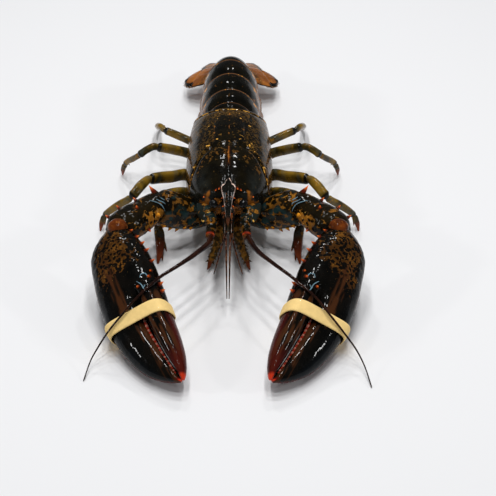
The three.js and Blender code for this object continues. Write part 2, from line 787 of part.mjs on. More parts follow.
function clawBand(name) {
  const sides = 26;
  const ring = (edge, grow, spare) =>
    Array.from({ length: sides }, (_, i) => {
      const angle = (2 * Math.PI * (i + 0.5)) / sides;
      const across = power(Math.cos(angle), 2 / 6);
      const over = power(Math.sin(angle), 2 / 2.6);
      const s = THREE.MathUtils.lerp(BAND.outer[edge], BAND.inner[edge], (across + 1) / 2);
      const [outer, inner, , thick] = CLAW(s);
      const w = (outer + inner) / 2 + ((inner - outer) / 2 + grow) * across;
      return clawPlace(s + spare, w, (thick + grow) * over * (over < 0 ? 0.92 : 1));
    });
  const outside = BAND.clear + BAND.thick;
  const wall = skin([ring(0, outside, 0), ring(1, outside, 0)], SIDES[name]);
  return wall.subtract(skin([ring(0, BAND.clear, -3), ring(1, BAND.clear, 3)], SIDES[name]));
}

// Walking legs, front to back: an upper length to the knee and a lower one to the ground. A prong is a small
// fixed finger beside the toe, from its root to its tip, with the radius of its root.

const LEGS = [
  {
    upper: [
      [9, -48, 12.5, 3.2, 4.2],
      [18, -49, 14, 3.1, 4.2],
      [28, -49.5, 22, 3, 4.4],
      [41, -58, 28, 2.9, 4.3],
      [49.5, -64.5, 29, 2.7, 3.8],
      [51.5, -66.5, 28.6, 2, 2.8],
    ],
    lower: [
      [50.5, -65.5, 28.6, 1.9, 2.6],
      [51.5, -69, 27, 2.6, 3.1],
      [49.5, -74.5, 20.5, 2.8, 3.3],
      [48, -77, 17, 2.2, 2.6],
      [46.5, -81.5, 12.6, 3.1, 3.4],
      [46, -86.5, 9.4, 3.2, 3.2],
      [46, -91, 6.4, 2.6, 2.6],
      [46.8, -95, 2.8, 1.3, 1.4],
      [47.3, -97.6, 0.6, 0.6, 0.6],
    ],
    prongs: [
      [45, -89, 7.6, 44.2, -95.6, 1.8, 1.5],
      [43.8, -86, 10, 41.6, -91.6, 6.4, 1.3],
    ],
  },
  {
    upper: [
      [9, -29, 12.5, 3.2, 4.1],
      [18, -27.5, 14.5, 3.1, 4.2],
      [28, -28, 22.5, 2.9, 4.2],
      [40, -39, 29.5, 2.9, 4.3],
      [50.5, -48, 34.6, 2.8, 4],
      [54, -51, 35.8, 2, 2.8],
    ],
    lower: [
      [53, -50, 35.6, 1.8, 2.6],
      [55.6, -53, 36.4, 2.4, 3],
      [59.5, -59, 36, 2.7, 3.4],
      [63.6, -65.5, 34.2, 2.6, 3.2],
      [65.5, -66.5, 32.2, 1.9, 2.4],
      [74, -63.5, 24, 2.1, 2.7],
      [82.6, -60, 14.6, 1.9, 2.3],
      [84.6, -59.4, 11.6, 1.7, 2.1],
      [87, -59.6, 5.6, 1.5, 1.8],
      [88.2, -61.2, 0.2, 0.45, 0.5],
    ],
    prongs: [[84.4, -60.4, 12.2, 84.6, -63.4, 6.6, 1.1]],
  },
  {
    upper: [
      [8.5, -10, 12.5, 2.9, 3.7],
      [17, -4, 14, 2.8, 3.7],
      [28, 1, 20.5, 2.6, 3.7],
      [39, -3, 27, 2.5, 3.7],
      [48, -7, 31.8, 2.4, 3.4],
      [51, -8, 33, 1.8, 2.5],
    ],
    lower: [
      [50.2, -7.7, 32.8, 1.6, 2.3],
      [53, -8, 33.2, 2, 2.5],
      [57.5, -9.8, 32, 2.1, 2.6],
      [61.6, -11.2, 29.6, 2.1, 2.6],
      [63, -10.3, 27.8, 1.6, 2],
      [68, -5, 21, 1.8, 2.2],
      [73, 0.3, 14.4, 1.6, 2],
      [74.4, 1.8, 11.4, 1.6, 1.9],
      [76.4, 3.8, 5.4, 1.4, 1.7],
      [77, 4.8, 0.1, 0.4, 0.45],
    ],
    prongs: [[73.2, 0.6, 14.6, 71.6, 3.4, 9.6, 0.9]],
  },
  {
    upper: [
      [8, 6, 13, 2.5, 3.1],
      [16, 11.5, 15, 2.4, 3.1],
      [28, 15.5, 21.5, 2.2, 3],
      [37, 18, 24.8, 2.1, 3],
      [44.5, 20, 27.2, 2, 2.7],
      [47, 20.8, 27.8, 1.5, 2.1],
    ],
    lower: [
      [46.2, 20.5, 27.6, 1.4, 2],
      [48.6, 23.5, 27.8, 1.9, 2.3],
      [51.4, 30, 25, 2.1, 2.4],
      [52.4, 33.5, 22.5, 1.6, 2],
      [53.6, 46, 13.5, 1.7, 2],
      [54, 55, 8, 1.5, 1.8],
      [53.5, 58.5, 6, 1.1, 1.4],
      [51.8, 63.5, 2.8, 0.9, 1],
      [49.6, 67.6, 0.4, 0.4, 0.45],
    ],
    prongs: [[53.6, 53.6, 9, 52, 58.4, 5.4, 0.9]],
  },
];

for (const [name, side] of Object.entries(SIDES)) {
  const grown = (part) => part.solid(side, GAP);

  addNode("uropod_inner_" + name, INNER_BLADE.solid(side), "fan", [lastRingGrown, TELSON.solid(1, GAP)]);
  addNode("uropod_outer_" + name, OUTER_BLADE.solid(side), "fan", [
    lastRingGrown,
    TELSON.solid(1, GAP),
    grown(INNER_BLADE),
  ]);

  addNode("eyestalk_" + name, EYESTALK.solid(side), "shell", [carapaceGrown]);
  const eye = ball(vec(EYE.out, EYE.y, EYE.z), EYE.radius, 1, side);
  addNode("eye_" + name, eye, "eye", [grown(EYESTALK), carapaceGrown]);
  const eyeGrown = ball(vec(EYE.out, EYE.y, EYE.z), EYE.radius + GAP, 1, side);

  addNode("antenna_base_" + name, ANTENNA_BASE.solid(side), "leg", [carapaceGrown, eyeGrown]);
  addNode("antenna_scale_" + name, ANTENNA_SCALE.solid(side), "leg", [carapaceGrown, grown(ANTENNA_BASE)]);
  const feeler = limb(ANTENNA_PATH[name], { across: vec(0.85, 0.5, 0), sides: 5, steps: 18 });
  addNode("antenna_" + name, feeler.solid(side), "feeler", [grown(ANTENNA_BASE)]);
  addNode(
    "antennule_" + name,
    unite([ANTENNULE_BASE, ANTENNULE_OUTER, ANTENNULE_INNER].map((part) => part.solid(side))),
    "feeler",
    [carapaceGrown, eyeGrown, grown(EYESTALK), grown(ANTENNA_BASE)],
  );
  addNode("maxilliped_" + name, MAXILLIPED.solid(side), "leg", [trunkGrown, grown(ANTENNA_BASE)]);

  const arm = unite([ARM.solid(side), ...spinesOn(ARM, ARM_SPINES, side)]);
  addNode("arm_" + name, arm, "leg", [trunkGrown, grown(MAXILLIPED), grown(ANTENNA_BASE)]);
  const knob = ball(vec(WRIST_KNOB.out, WRIST_KNOB.y, WRIST_KNOB.z), WRIST_KNOB.radius, 1, side);
  const forearm = unite([FOREARM.solid(side), knob, ...spinesOn(FOREARM, FOREARM_SPINES, side)]);
  addNode("forearm_" + name, forearm, "shell", [grown(ARM)]);
  const forearmGrown = unite([
    grown(FOREARM),
    ball(vec(WRIST_KNOB.out, WRIST_KNOB.y, WRIST_KNOB.z), WRIST_KNOB.radius + GAP, 1, side),
  ]);

  const whole = wholeClaw(name);
  const palm = unite([
    whole.subtract(fingerSide(name, -GAP / 2)),
    ...clawSpines(name, CLAW_SPINES),
    ...hingeSpines(name),
    ...clawTeeth(name),
  ]);
  const finger = unite([whole.intersect(fingerSide(name, GAP / 2)), ...clawSpines(name, FINGER_SPINES)]);
  addNode("claw_" + name, palm, "shell", [forearmGrown]);
  addNode("claw_finger_" + name, finger, "shell", [made["claw_" + name]]);
  addNode("claw_band_" + name, clawBand(name), "band");

  LEGS.forEach((leg, i) => {
    const upper = limb(leg.upper, { sides: 8, steps: 6 });
    const lower = limb(leg.lower, { sides: 7, steps: 11, across: upper.frame(0).wide });
    const label = "leg_" + (i + 1) + "_" + name;
    addNode(label + "_upper", upper.solid(side), "leg", [trunkGrown, segmentGrown[0], segmentGrown[1]]);
    const prongs = leg.prongs.map(([x, y, z, tipX, tipY, tipZ, radius]) => {
      const aim = vec(tipX - x, tipY - y, tipZ - z);
      return spine(vec(x, y, z), aim, aim.length(), radius, side);
    });
    addNode(label + "_lower", unite([lower.solid(side), ...prongs]), "leg", [grown(upper)]);
  });
}

// Move the origin to the bottom centre of the bounding box.
const box = new THREE.Box3().setFromObject(lobster);
const middle = box.getCenter(vec(0, 0, 0));
lobster.position.set(-middle.x, -middle.y, -box.min.z);

export default lobster;
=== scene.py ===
# %% [markdown]
# # A wet American lobster, life size
#
# The lobster lies on a pale table and looks at the camera, with its banded claws stretched forward. Its
# shell is one hard skin in many plates. Each plate is built here as a smooth surface from the same named
# measures as the CAD solids that it covers, then finished with a procedural wet-shell material.
#
# Measures are in millimetres in the animal's own frame: it faces -Y, its left is +X, the ground is z = 0
# and y = 0 is the hind edge of the carapace. The last step of every mesh turns them into metres in the row
# frame.

import math

import bpy
import numpy as np
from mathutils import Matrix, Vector, noise


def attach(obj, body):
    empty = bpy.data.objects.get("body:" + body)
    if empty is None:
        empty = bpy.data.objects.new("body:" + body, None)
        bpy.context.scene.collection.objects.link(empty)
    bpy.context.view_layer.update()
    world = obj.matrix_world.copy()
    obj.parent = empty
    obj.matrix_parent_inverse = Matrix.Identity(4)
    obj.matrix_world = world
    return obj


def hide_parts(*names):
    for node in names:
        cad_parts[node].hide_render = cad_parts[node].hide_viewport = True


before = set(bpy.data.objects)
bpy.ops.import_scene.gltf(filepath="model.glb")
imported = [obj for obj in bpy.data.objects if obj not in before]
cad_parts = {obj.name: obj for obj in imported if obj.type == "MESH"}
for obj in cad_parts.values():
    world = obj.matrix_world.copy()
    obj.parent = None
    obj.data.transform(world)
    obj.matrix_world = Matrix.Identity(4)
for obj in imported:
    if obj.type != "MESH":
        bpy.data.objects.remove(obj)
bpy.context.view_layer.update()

# %% [markdown]
# ## Camera, floor and light
#
# The camera comes first. It stands in front of the animal, 38 degrees above the table, with a long lens.
# The floor is plain and pale.

# %% Put the camera where the photograph was taken
MM = 0.001
FRAME_SHIFT = 46.49  # how far the row frame's origin lies ahead of the carapace's hind edge, in mm
IMAGE_PIXELS = 496
FOCAL_PIXELS = 1600
CAMERA_RISE = math.radians(38)
CAMERA_DISTANCE = 1078.2
CAMERA_TARGET = Vector((12.67, -80.18, 0))


def to_frame(points):
    """Millimetres in the animal's frame as metres in the row frame."""
    return (np.asarray(points, float) + (0, FRAME_SHIFT, 0)) * MM


def new_object(name, data):
    made = bpy.data.objects.new(name, data)
    bpy.context.scene.collection.objects.link(made)
    return made


def add_camera():
    data = bpy.data.cameras.new("camera")
    data.sensor_width = 36
    data.lens = FOCAL_PIXELS / IMAGE_PIXELS * data.sensor_width
    data.clip_start, data.clip_end = 0.05, 20
    camera = new_object("camera", data)
    back = Vector((0, -math.cos(CAMERA_RISE), math.sin(CAMERA_RISE)))
    camera.location = to_frame(CAMERA_TARGET + back * CAMERA_DISTANCE)
    camera.rotation_euler = (math.pi / 2 - CAMERA_RISE, 0, 0)
    bpy.context.scene.camera = camera
    return camera


print("camera at", tuple(round(v, 4) for v in add_camera().location))

# %% Lay the floor and hang the lights
FLOOR_HALF = 4  # half the floor's width in metres
FLOOR_COLOUR = (0.84, 0.84, 0.85, 1)
FLOOR_ROUGHNESS = 0.75
ROOM_COLOUR = (0.93, 0.96, 1, 1)
ROOM_STRENGTH = 0.17
OVERHEAD_SIZE = 0.09
OVERHEAD_POWER = 2.2
OVERHEAD_LIGHTS = [
    ("light_over_%d_%d" % (row, column), (x, y, 1.3), OVERHEAD_SIZE, OVERHEAD_POWER)
    for row, y in enumerate((0.25, -0.12, -0.5))
    for column, x in enumerate((-0.17, 0.17))
]
LIGHTS = OVERHEAD_LIGHTS + [
    # name, place in metres, size in metres, watts
    ("light_back_left", (0.2, 0.75, 1.0), 0.08, 1.5),
    ("light_back_right", (-0.2, 0.75, 1.0), 0.08, 1.5),
    ("light_side_left", (1.0, -0.3, 0.6), 0.07, 1.2),
    ("light_side_right", (-1.0, -0.3, 0.6), 0.07, 1.2),
]


def new_material(name):
    """A material with its node tree and its shader."""
    material = bpy.data.materials.new(name)
    material.use_nodes = True
    return material, material.node_tree, material.node_tree.nodes["Principled BSDF"]


def add_floor():
    data = bpy.data.meshes.new("floor")
    corners = [(x * FLOOR_HALF, y * FLOOR_HALF, 0) for x, y in ((-1, -1), (1, -1), (1, 1), (-1, 1))]
    data.from_pydata(corners, [], [(0, 1, 2, 3)])
    material, _, shader = new_material("floor_matt")
    shader.inputs["Base Color"].default_value = FLOOR_COLOUR
    shader.inputs["Roughness"].default_value = FLOOR_ROUGHNESS
    data.materials.append(material)
    new_object("floor", data)


def add_light(name, place, size, watts):
    data = bpy.data.lights.new(name, "AREA")
    data.size = size
    data.energy = watts
    light = new_object(name, data)
    light.location = place
    light.rotation_euler = (-Vector(place)).to_track_quat("-Z", "Y").to_euler()


def light_the_room():
    world = bpy.data.worlds.new("room")
    world.use_nodes = True
    background = world.node_tree.nodes["Background"]
    background.inputs["Color"].default_value = ROOM_COLOUR
    background.inputs["Strength"].default_value = ROOM_STRENGTH
    bpy.context.scene.world = world
    bpy.context.scene.view_settings.view_transform = "Standard"


add_floor()
light_the_room()
for row in LIGHTS:
    add_light(*row)
print("lights:", len(LIGHTS))

# %% [markdown]
# ## Curves, limbs and skins
#
# A shell plate has no flat face. The helpers here follow the source of the CAD model: `smooth` draws a
# curve through rows of measures, `Limb` sweeps a rounded section along such a curve, and `skin` closes a
# grid of points into a mesh. The CAD solids use a dozen points round a limb and these use several dozen.

# %% Smooth curves through rows of numbers
def smooth(rows):
    """A monotone cubic curve through rows [t, ...values]. It never overshoots them."""
    table = np.array(rows, float)
    t, values = table[:, 0], table[:, 1:]
    step = np.diff(t)
    slope = np.diff(values, axis=0) / step[:, None]
    tangent = np.zeros_like(values)
    tangent[0], tangent[-1] = slope[0], slope[-1]
    product = slope[:-1] * slope[1:]
    total = slope[:-1] + slope[1:]
    tangent[1:-1] = np.where(product > 0, 2 * product / np.where(product > 0, total, 1), 0)

    def curve(at):
        at = np.clip(np.asarray(at, float), t[0], t[-1])
        i = np.clip(np.searchsorted(t, at, side="right") - 1, 0, len(t) - 2)
        h = step[i][..., None]
        u = ((at - t[i]) / step[i])[..., None]
        rise = values[i] * (1 + 2 * u) * (1 - u) ** 2 + values[i + 1] * u * u * (3 - 2 * u)
        return rise + tangent[i] * h * u * (1 - u) ** 2 - tangent[i + 1] * h * u * u * (1 - u)

    return curve


def smoothstep(value, low, high):
    share = np.clip((value - low) / (high - low), 0, 1)
    return share * share * (3 - 2 * share)


def power(value, exponent):
    return np.sign(value) * np.abs(value) ** exponent


def hump(distance, width):
    return np.exp(-((distance / width) ** 2))


def unit(vectors):
    vectors = np.asarray(vectors, float)
    return vectors / np.linalg.norm(vectors, axis=-1, keepdims=True)


def folded(degrees, turn=360):
    """Degrees from the nearest whole turn, so that left and right are alike."""
    return np.minimum(degrees % turn, turn - degrees % turn)


def roughness_of(points, size):
    """Smooth noise from -1 to 1 at each point, with lumps about `size` mm across."""
    flat = np.asarray(points, float).reshape(-1, 3) / size
    return np.array([noise.noise(Vector(p)) for p in flat]).reshape(np.shape(points)[:-1])


# %% Limbs: a rounded section swept along a curve
SIDEWAYS = (1, 0, 0)


class Limb:
    """Rows are [out, y, z, half width, half height]. `across` is the width direction, None for level."""

    def __init__(self, rows, across=SIDEWAYS, corner=2.2):
        rows = np.array(rows, float)
        steps = np.linalg.norm(np.diff(rows[:, :3], axis=0), axis=1)
        self.stops = np.concatenate([[0], np.cumsum(steps)])
        self.length = self.stops[-1]
        self.run = smooth(np.column_stack([self.stops, rows]))
        whole = rows[-1, :3] - rows[0, :3]
        self.width = unit((-whole[1], whole[0], 0) if across is None else across)
        self.corner = corner

    def frame(self, s):
        reach = 0.02 * self.length
        along = unit(self.run(s + reach)[..., :3] - self.run(s - reach)[..., :3])
        up = unit(np.cross(along, self.width))
        return along, up, np.cross(up, along), self.run(s)[..., :3]

    def at(self, s, degrees, swell=1.0):
        """The surface point at distance s and at an angle, 0 on top and 90 outwards."""
        _, up, wide, centre = self.frame(s)
        size = self.run(s)[..., 3:]
        angle = np.radians(degrees)
        a = size[..., :1] * np.expand_dims(swell * power(np.sin(angle), 2 / self.corner), -1)
        b = size[..., 1:] * np.expand_dims(swell * power(np.cos(angle), 2 / self.corner), -1)
        return centre + wide * a + up * b

    def grid(self, rings, sides, domes, shape=None, start=0.0, end=None):
        """Rings of points from `start` to `end`, with rounded ends as long as `domes` says."""
        end = self.length if end is None else end
        turn = np.linspace(0, math.pi / 2, 7)[1:-1]
        first = [(start, math.sin(x), -domes[0] * math.cos(x)) for x in turn] if domes[0] else []
        last = [(end, math.cos(x), domes[1] * math.sin(x)) for x in turn] if domes[1] else []
        rows = np.array(first + [(s, 1.0, 0.0) for s in np.linspace(start, end, rings)] + last)
        s = np.repeat(rows[:, :1], sides, axis=1)
        degrees = np.repeat(np.linspace(0, 360, sides, endpoint=False)[None], len(rows), axis=0)
        swell = rows[:, 1:2] * (shape(s, degrees) if shape else 1.0)
        points = self.at(s, degrees, swell) + self.frame(s)[0] * rows[:, 2][:, None, None]
        return points, s, degrees


# %% Skins: a grid of points as a mesh
def add_object(name, vertices, faces, material, attributes=None):
    """A smooth mesh in the row frame, with painted attributes and a look that MATERIALS holds, further on."""
    data = bpy.data.meshes.new(name)
    data.from_pydata(to_frame(vertices).tolist(), [], faces)
    data.polygons.foreach_set("use_smooth", [True] * len(data.polygons))
    for key, values in (attributes or {}).items():
        layer = data.attributes.new(key, "FLOAT", "POINT")
        layer.data.foreach_set("value", np.asarray(values, np.float32).ravel())
    data.materials.append(MATERIALS[material])
    data.update()
    return new_object(name, data)


def outward(vertices, faces):
    """The faces, turned round if they look into the closed mesh."""
    triangles = np.array([(f[0], f[k], f[k + 1]) for f in faces for k in range(1, len(f) - 1)])
    centred = vertices - vertices.mean(0)
    a, b, c = (centred[triangles[:, k]] for k in range(3))
    inside_out = np.einsum("ij,ij->i", a, np.cross(b, c)).sum() < 0
    return [tuple(reversed(f)) for f in faces] if inside_out else faces


def skin(points, side):
    """Vertices and faces of a closed skin over rings of points, mirrored for side -1."""
    rings, sides = points.shape[:2]
    vertices = np.concatenate([points.reshape(-1, 3), points[0].mean(0)[None], points[-1].mean(0)[None]])
    vertices = vertices * (side, 1, 1)
    faces = []
    for r in range(rings - 1):
        for i in range(sides):
            a = r * sides + i
            b = r * sides + (i + 1) % sides
            faces.append((a, a + sides, b + sides, b))
    first = rings * sides
    for i in range(sides):
        faces.append((first, i, (i + 1) % sides))
        faces.append((first + 1, first - sides + (i + 1) % sides, first - sides + i))
    return vertices, outward(vertices, faces)


def capped(values):
    """Attribute values of a grid of points from 0 to 1, with those of the two cap centres added."""
    values = np.clip(values, 0, 1)
    return np.concatenate([values.ravel(), [values[0].mean(), values[-1].mean()]])


class Shell:
    """Several closed skins that become one object, with the paint of each."""

    def __init__(self):
        self.vertices, self.faces, self.paint = [], [], {}
        self.count = 0

    def add(self, points, side=1, **paint):
        vertices, faces = skin(points, side)
        self.faces += [tuple(i + self.count for i in f) for f in faces]
        for key in set(self.paint) | set(paint):
            values = capped(np.broadcast_to(paint.get(key, 0.0), points.shape[:2]))
            self.paint.setdefault(key, [np.zeros(self.count)] if self.count else []).append(values)
        self.vertices.append(vertices)
        self.count += len(vertices)
        return self

    def finish(self, name, material, slot, *nodes):
        paint = {key: np.concatenate(values) for key, values in self.paint.items()}
        piece = add_object(name, np.concatenate(self.vertices), self.faces, material, paint)
        return settle(piece, slot, *nodes)


def settle(piece, slot, *nodes):
    """The piece rides on the body and stands for the nodes that it covers. Its slot is not used."""
    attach(piece, "root")
    if nodes:
        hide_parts(*nodes)
    return piece


SIDES = {"left": 1, "right": -1}
print("helpers ready")

# %% [markdown]
# ## The wet shell
#
# A lobster's shell is nearly black with a little green or blue in it, and brown, orange and gold marks grow
# denser in some places. Five painted attributes say where: `warm` for the mottling, `amber` for whole brown
# or orange fields, `gold` for small bright flecks and, on the rostrum's margins, a painted highlight, `blue`
# for the grey-blue of joints and soft sides and, on the carapace and the joint folds, painted sheen and
# highlights, and `red` for spine tips and edges. They are worked out from each plate's own measures, and the
# fine pattern inside them is noise in Object coordinates. The shader group `shell_colour` holds that recipe
# once, and each material gives it its own colours and scales. The group `shell_surface` holds the pores, the
# dents and the uneven gloss. The film of water over them is the coat of each material's own shader, rippled
# by a noise that the shell below doesn't follow.

# %% Small helpers for node trees
SOCKETS = {int: "NodeSocketInt", float: "NodeSocketFloat", tuple: "NodeSocketColor"}


def new_group(name, kind, inputs, outputs):
    """An empty node group and its inputs, each given by its default value or by its socket type."""
    tree = bpy.data.node_groups.new(name, kind)
    for label, default in inputs.items():
        socket = SOCKETS.get(type(default), default)
        made = tree.interface.new_socket(label, in_out="INPUT", socket_type=socket)
        if default != socket:
            made.default_value = default
    for label, socket in outputs.items():
        tree.interface.new_socket(label, in_out="OUTPUT", socket_type=socket)
    return tree, tree.nodes.new("NodeGroupInput").outputs


def feed(tree, node, sockets):
    """Gives inputs of a node a value each, or another node's output."""
    for key, value in sockets.items():
        if isinstance(value, bpy.types.NodeSocket):
            tree.links.new(value, node.inputs[key])
        else:
            node.inputs[key].default_value = value


def put(tree, kind, sockets=None, **settings):
    """A new node with its settings and its inputs."""
    node = tree.nodes.new(kind)
    for key, value in settings.items():
        setattr(node, key, value)
    feed(tree, node, sockets or {})
    return node


def calculate(tree, operation, *values):
    return put(tree, "ShaderNodeMath", dict(enumerate(values)), operation=operation).outputs[0]


def mix_colour(tree, share, low, high):
    """The colour sockets of a Mix node are its inputs 6 and 7 and its output 2."""
    return put(tree, "ShaderNodeMix", {0: share, 6: low, 7: high}, data_type="RGBA").outputs[2]


def rise(tree, value, low, high):
    """0 below `low`, 1 above `high` and a smooth rise between them."""
    sockets = {"Value": value, "From Min": low, "From Max": high}
    return put(tree, "ShaderNodeMapRange", sockets, interpolation_type="SMOOTHSTEP").outputs[0]


def object_place(tree):
    return put(tree, "ShaderNodeTexCoord").outputs["Object"]


def clouds(tree, scale, detail):
    """The outputs of a noise texture in Object coordinates."""
    sockets = {"Vector": object_place(tree), "Scale": scale, "Detail": detail}
    return put(tree, "ShaderNodeTexNoise", sockets).outputs


def relief(tree, height, distance):
    sockets = {"Height": height, "Distance": distance, "Strength": 1.0}
    return put(tree, "ShaderNodeBump", sockets).outputs["Normal"]


# %% The shared recipe of the shell's colour
def make_shell_colour():
    tree, given = new_group(
        "shell_colour",
        "ShaderNodeTree",
        {
            "Deep": (0.004, 0.004, 0.0025, 1),
            "Ground": (0.02, 0.022, 0.01, 1),
            "Mottle": (0.085, 0.032, 0.008, 1),
            "Bright": (0.28, 0.11, 0.016, 1),
            "Amber": (0.5, 0.19, 0.02, 1),
            "Gold": (0.75, 0.42, 0.08, 1),
            "Blue": (0.06, 0.1, 0.11, 1),
            "Ember": (0.13, 0.014, 0.006, 1),
            "Red": (0.8, 0.1, 0.014, 1),
            "Cells": 430.0,
            "Patch": 150.0,
            "Flecks": 620.0,
        },
        {"Color": "NodeSocketColor"},
    )
    warm, amber, gold, blue, red = (
        put(tree, "ShaderNodeAttribute", attribute_name=key).outputs["Fac"]
        for key in ("warm", "amber", "gold", "blue", "red")
    )
    slow = clouds(tree, 90.0, 3.0)["Fac"]
    patch = clouds(tree, given["Patch"], 4.0)
    fine = clouds(tree, 950.0, 3.0)["Fac"]
    shift = {0: patch["Color"], 1: (0.006, 0.006, 0.006), 2: object_place(tree)}
    warped = put(tree, "ShaderNodeVectorMath", shift, operation="MULTIPLY_ADD").outputs[0]
    cells = put(tree, "ShaderNodeTexVoronoi", {"Vector": warped, "Scale": given["Cells"]}).outputs
    flecks = put(tree, "ShaderNodeTexVoronoi", {"Vector": warped, "Scale": given["Flecks"]}).outputs

    # Low `warm` leaves spots where cells meet, more of it a net round dark cells, a lot of it a brown field.
    ragged = calculate(tree, "MULTIPLY_ADD", fine, 0.3, cells["Distance"])
    uneven = calculate(tree, "MULTIPLY_ADD", patch["Fac"], 0.9, -0.45)
    level = calculate(tree, "ADD", warm, uneven)
    limit = calculate(tree, "MULTIPLY_ADD", level, -0.62, 1.2)
    net = rise(tree, calculate(tree, "SUBTRACT", ragged, limit), -0.07, 0.09)
    cover = calculate(tree, "MAXIMUM", net, rise(tree, amber, 0.45, 0.95))
    tone = mix_colour(tree, rise(tree, slow, 0.4, 0.7), given["Mottle"], given["Bright"])
    tone = mix_colour(tree, rise(tree, fine, 0.35, 0.6), given["Mottle"], tone)
    tone = mix_colour(tree, rise(tree, amber, 0.05, 0.7), tone, given["Amber"])

    base = mix_colour(tree, rise(tree, slow, 0.35, 0.65), given["Deep"], given["Ground"])
    skin_share = calculate(tree, "MULTIPLY", blue, rise(tree, patch["Fac"], 0.25, 0.6))
    base = mix_colour(tree, skin_share, base, given["Blue"])
    base = mix_colour(tree, cover, base, tone)
    reach = calculate(tree, "MULTIPLY", gold, 0.55)
    near = calculate(tree, "SUBTRACT", reach, flecks["Distance"])
    chosen = rise(tree, flecks["Color"], 0.3, 0.36)
    spot = calculate(tree, "MULTIPLY", rise(tree, near, -0.05, 0.04), chosen)
    spot = calculate(tree, "MAXIMUM", spot, rise(tree, gold, 0.78, 0.96))
    base = mix_colour(tree, spot, base, given["Gold"])
    edge = calculate(tree, "MULTIPLY_ADD", fine, 0.16, red)
    base = mix_colour(tree, rise(tree, edge, 0.12, 0.55), base, given["Ember"])
    base = mix_colour(tree, rise(tree, edge, 0.55, 1.05), base, given["Red"])
    put(tree, "NodeGroupOutput", {"Color": base})
    return tree


# %% The shared recipe of the shell's surface: pores, dents and an uneven gloss
def make_shell_surface():
    tree, given = new_group(
        "shell_surface",
        "ShaderNodeTree",
        {"Pores": 0.5, "Dents": 1.0, "Wet": 0.16, "Dry": 0.4},
        {"Roughness": "NodeSocketFloat", "Height": "NodeSocketFloat"},
    )
    sockets = {"Vector": object_place(tree), "Scale": 1100.0, "Randomness": 1.0}
    pores = put(tree, "ShaderNodeTexVoronoi", sockets).outputs["Distance"]
    pit = calculate(tree, "MULTIPLY", rise(tree, pores, 0.1, 0.42), given["Pores"])
    dent = calculate(tree, "MULTIPLY", clouds(tree, 170.0, 2.0)["Fac"], given["Dents"])
    film = rise(tree, clouds(tree, 240.0, 4.0)["Fac"], 0.38, 0.66)
    spread = calculate(tree, "MULTIPLY", film, calculate(tree, "SUBTRACT", given["Dry"], given["Wet"]))
    roughness = calculate(tree, "ADD", given["Wet"], spread)
    height = calculate(tree, "ADD", calculate(tree, "MULTIPLY", pit, 0.25), dent)
    put(tree, "NodeGroupOutput", {"Roughness": roughness, "Height": height})
    return tree


SHELL_COLOUR = make_shell_colour()
SHELL_SURFACE = make_shell_surface()
print("shader groups:", SHELL_COLOUR.name, SHELL_SURFACE.name)

# %% Materials made from the two groups
RELIEF_DEPTH = 0.0005  # metres
CALM = 0.12  # how much the film of water ripples on most plates
RIPPLED = 0.27  # the same on the back and the arms
RIPPLE_SCALE = 240.0
RIPPLE_HEIGHT = 1.6  # times the depth of the relief and the ripple of the material
SHELL_GLOSS = {"Specular IOR Level": 0.01, "Coat IOR": 1.27, "Coat Roughness": 0.04}


def wet_material(name, coat=0.5, ripple=CALM, **colours):
    """A shell material: its colours and scales go to the groups, its gloss to the shader's own sockets."""
    material, tree, shader = new_material(name)
    tint = put(tree, "ShaderNodeGroup", node_tree=SHELL_COLOUR)
    feed(tree, tint, {k: (*v, 1) if isinstance(v, tuple) else v for k, v in colours.items()})
    surface = put(tree, "ShaderNodeGroup", node_tree=SHELL_SURFACE).outputs
    ripples = clouds(tree, RIPPLE_SCALE, 2.0)["Fac"]
    sockets = {
        "Base Color": tint.outputs["Color"],
        "Roughness": surface["Roughness"],
        "Normal": relief(tree, surface["Height"], RELIEF_DEPTH),
        "Coat Normal": relief(tree, ripples, RIPPLE_HEIGHT * RELIEF_DEPTH * ripple),
        "Coat Weight": coat,
    }
    feed(tree, shader, {**sockets, **SHELL_GLOSS})
    return material


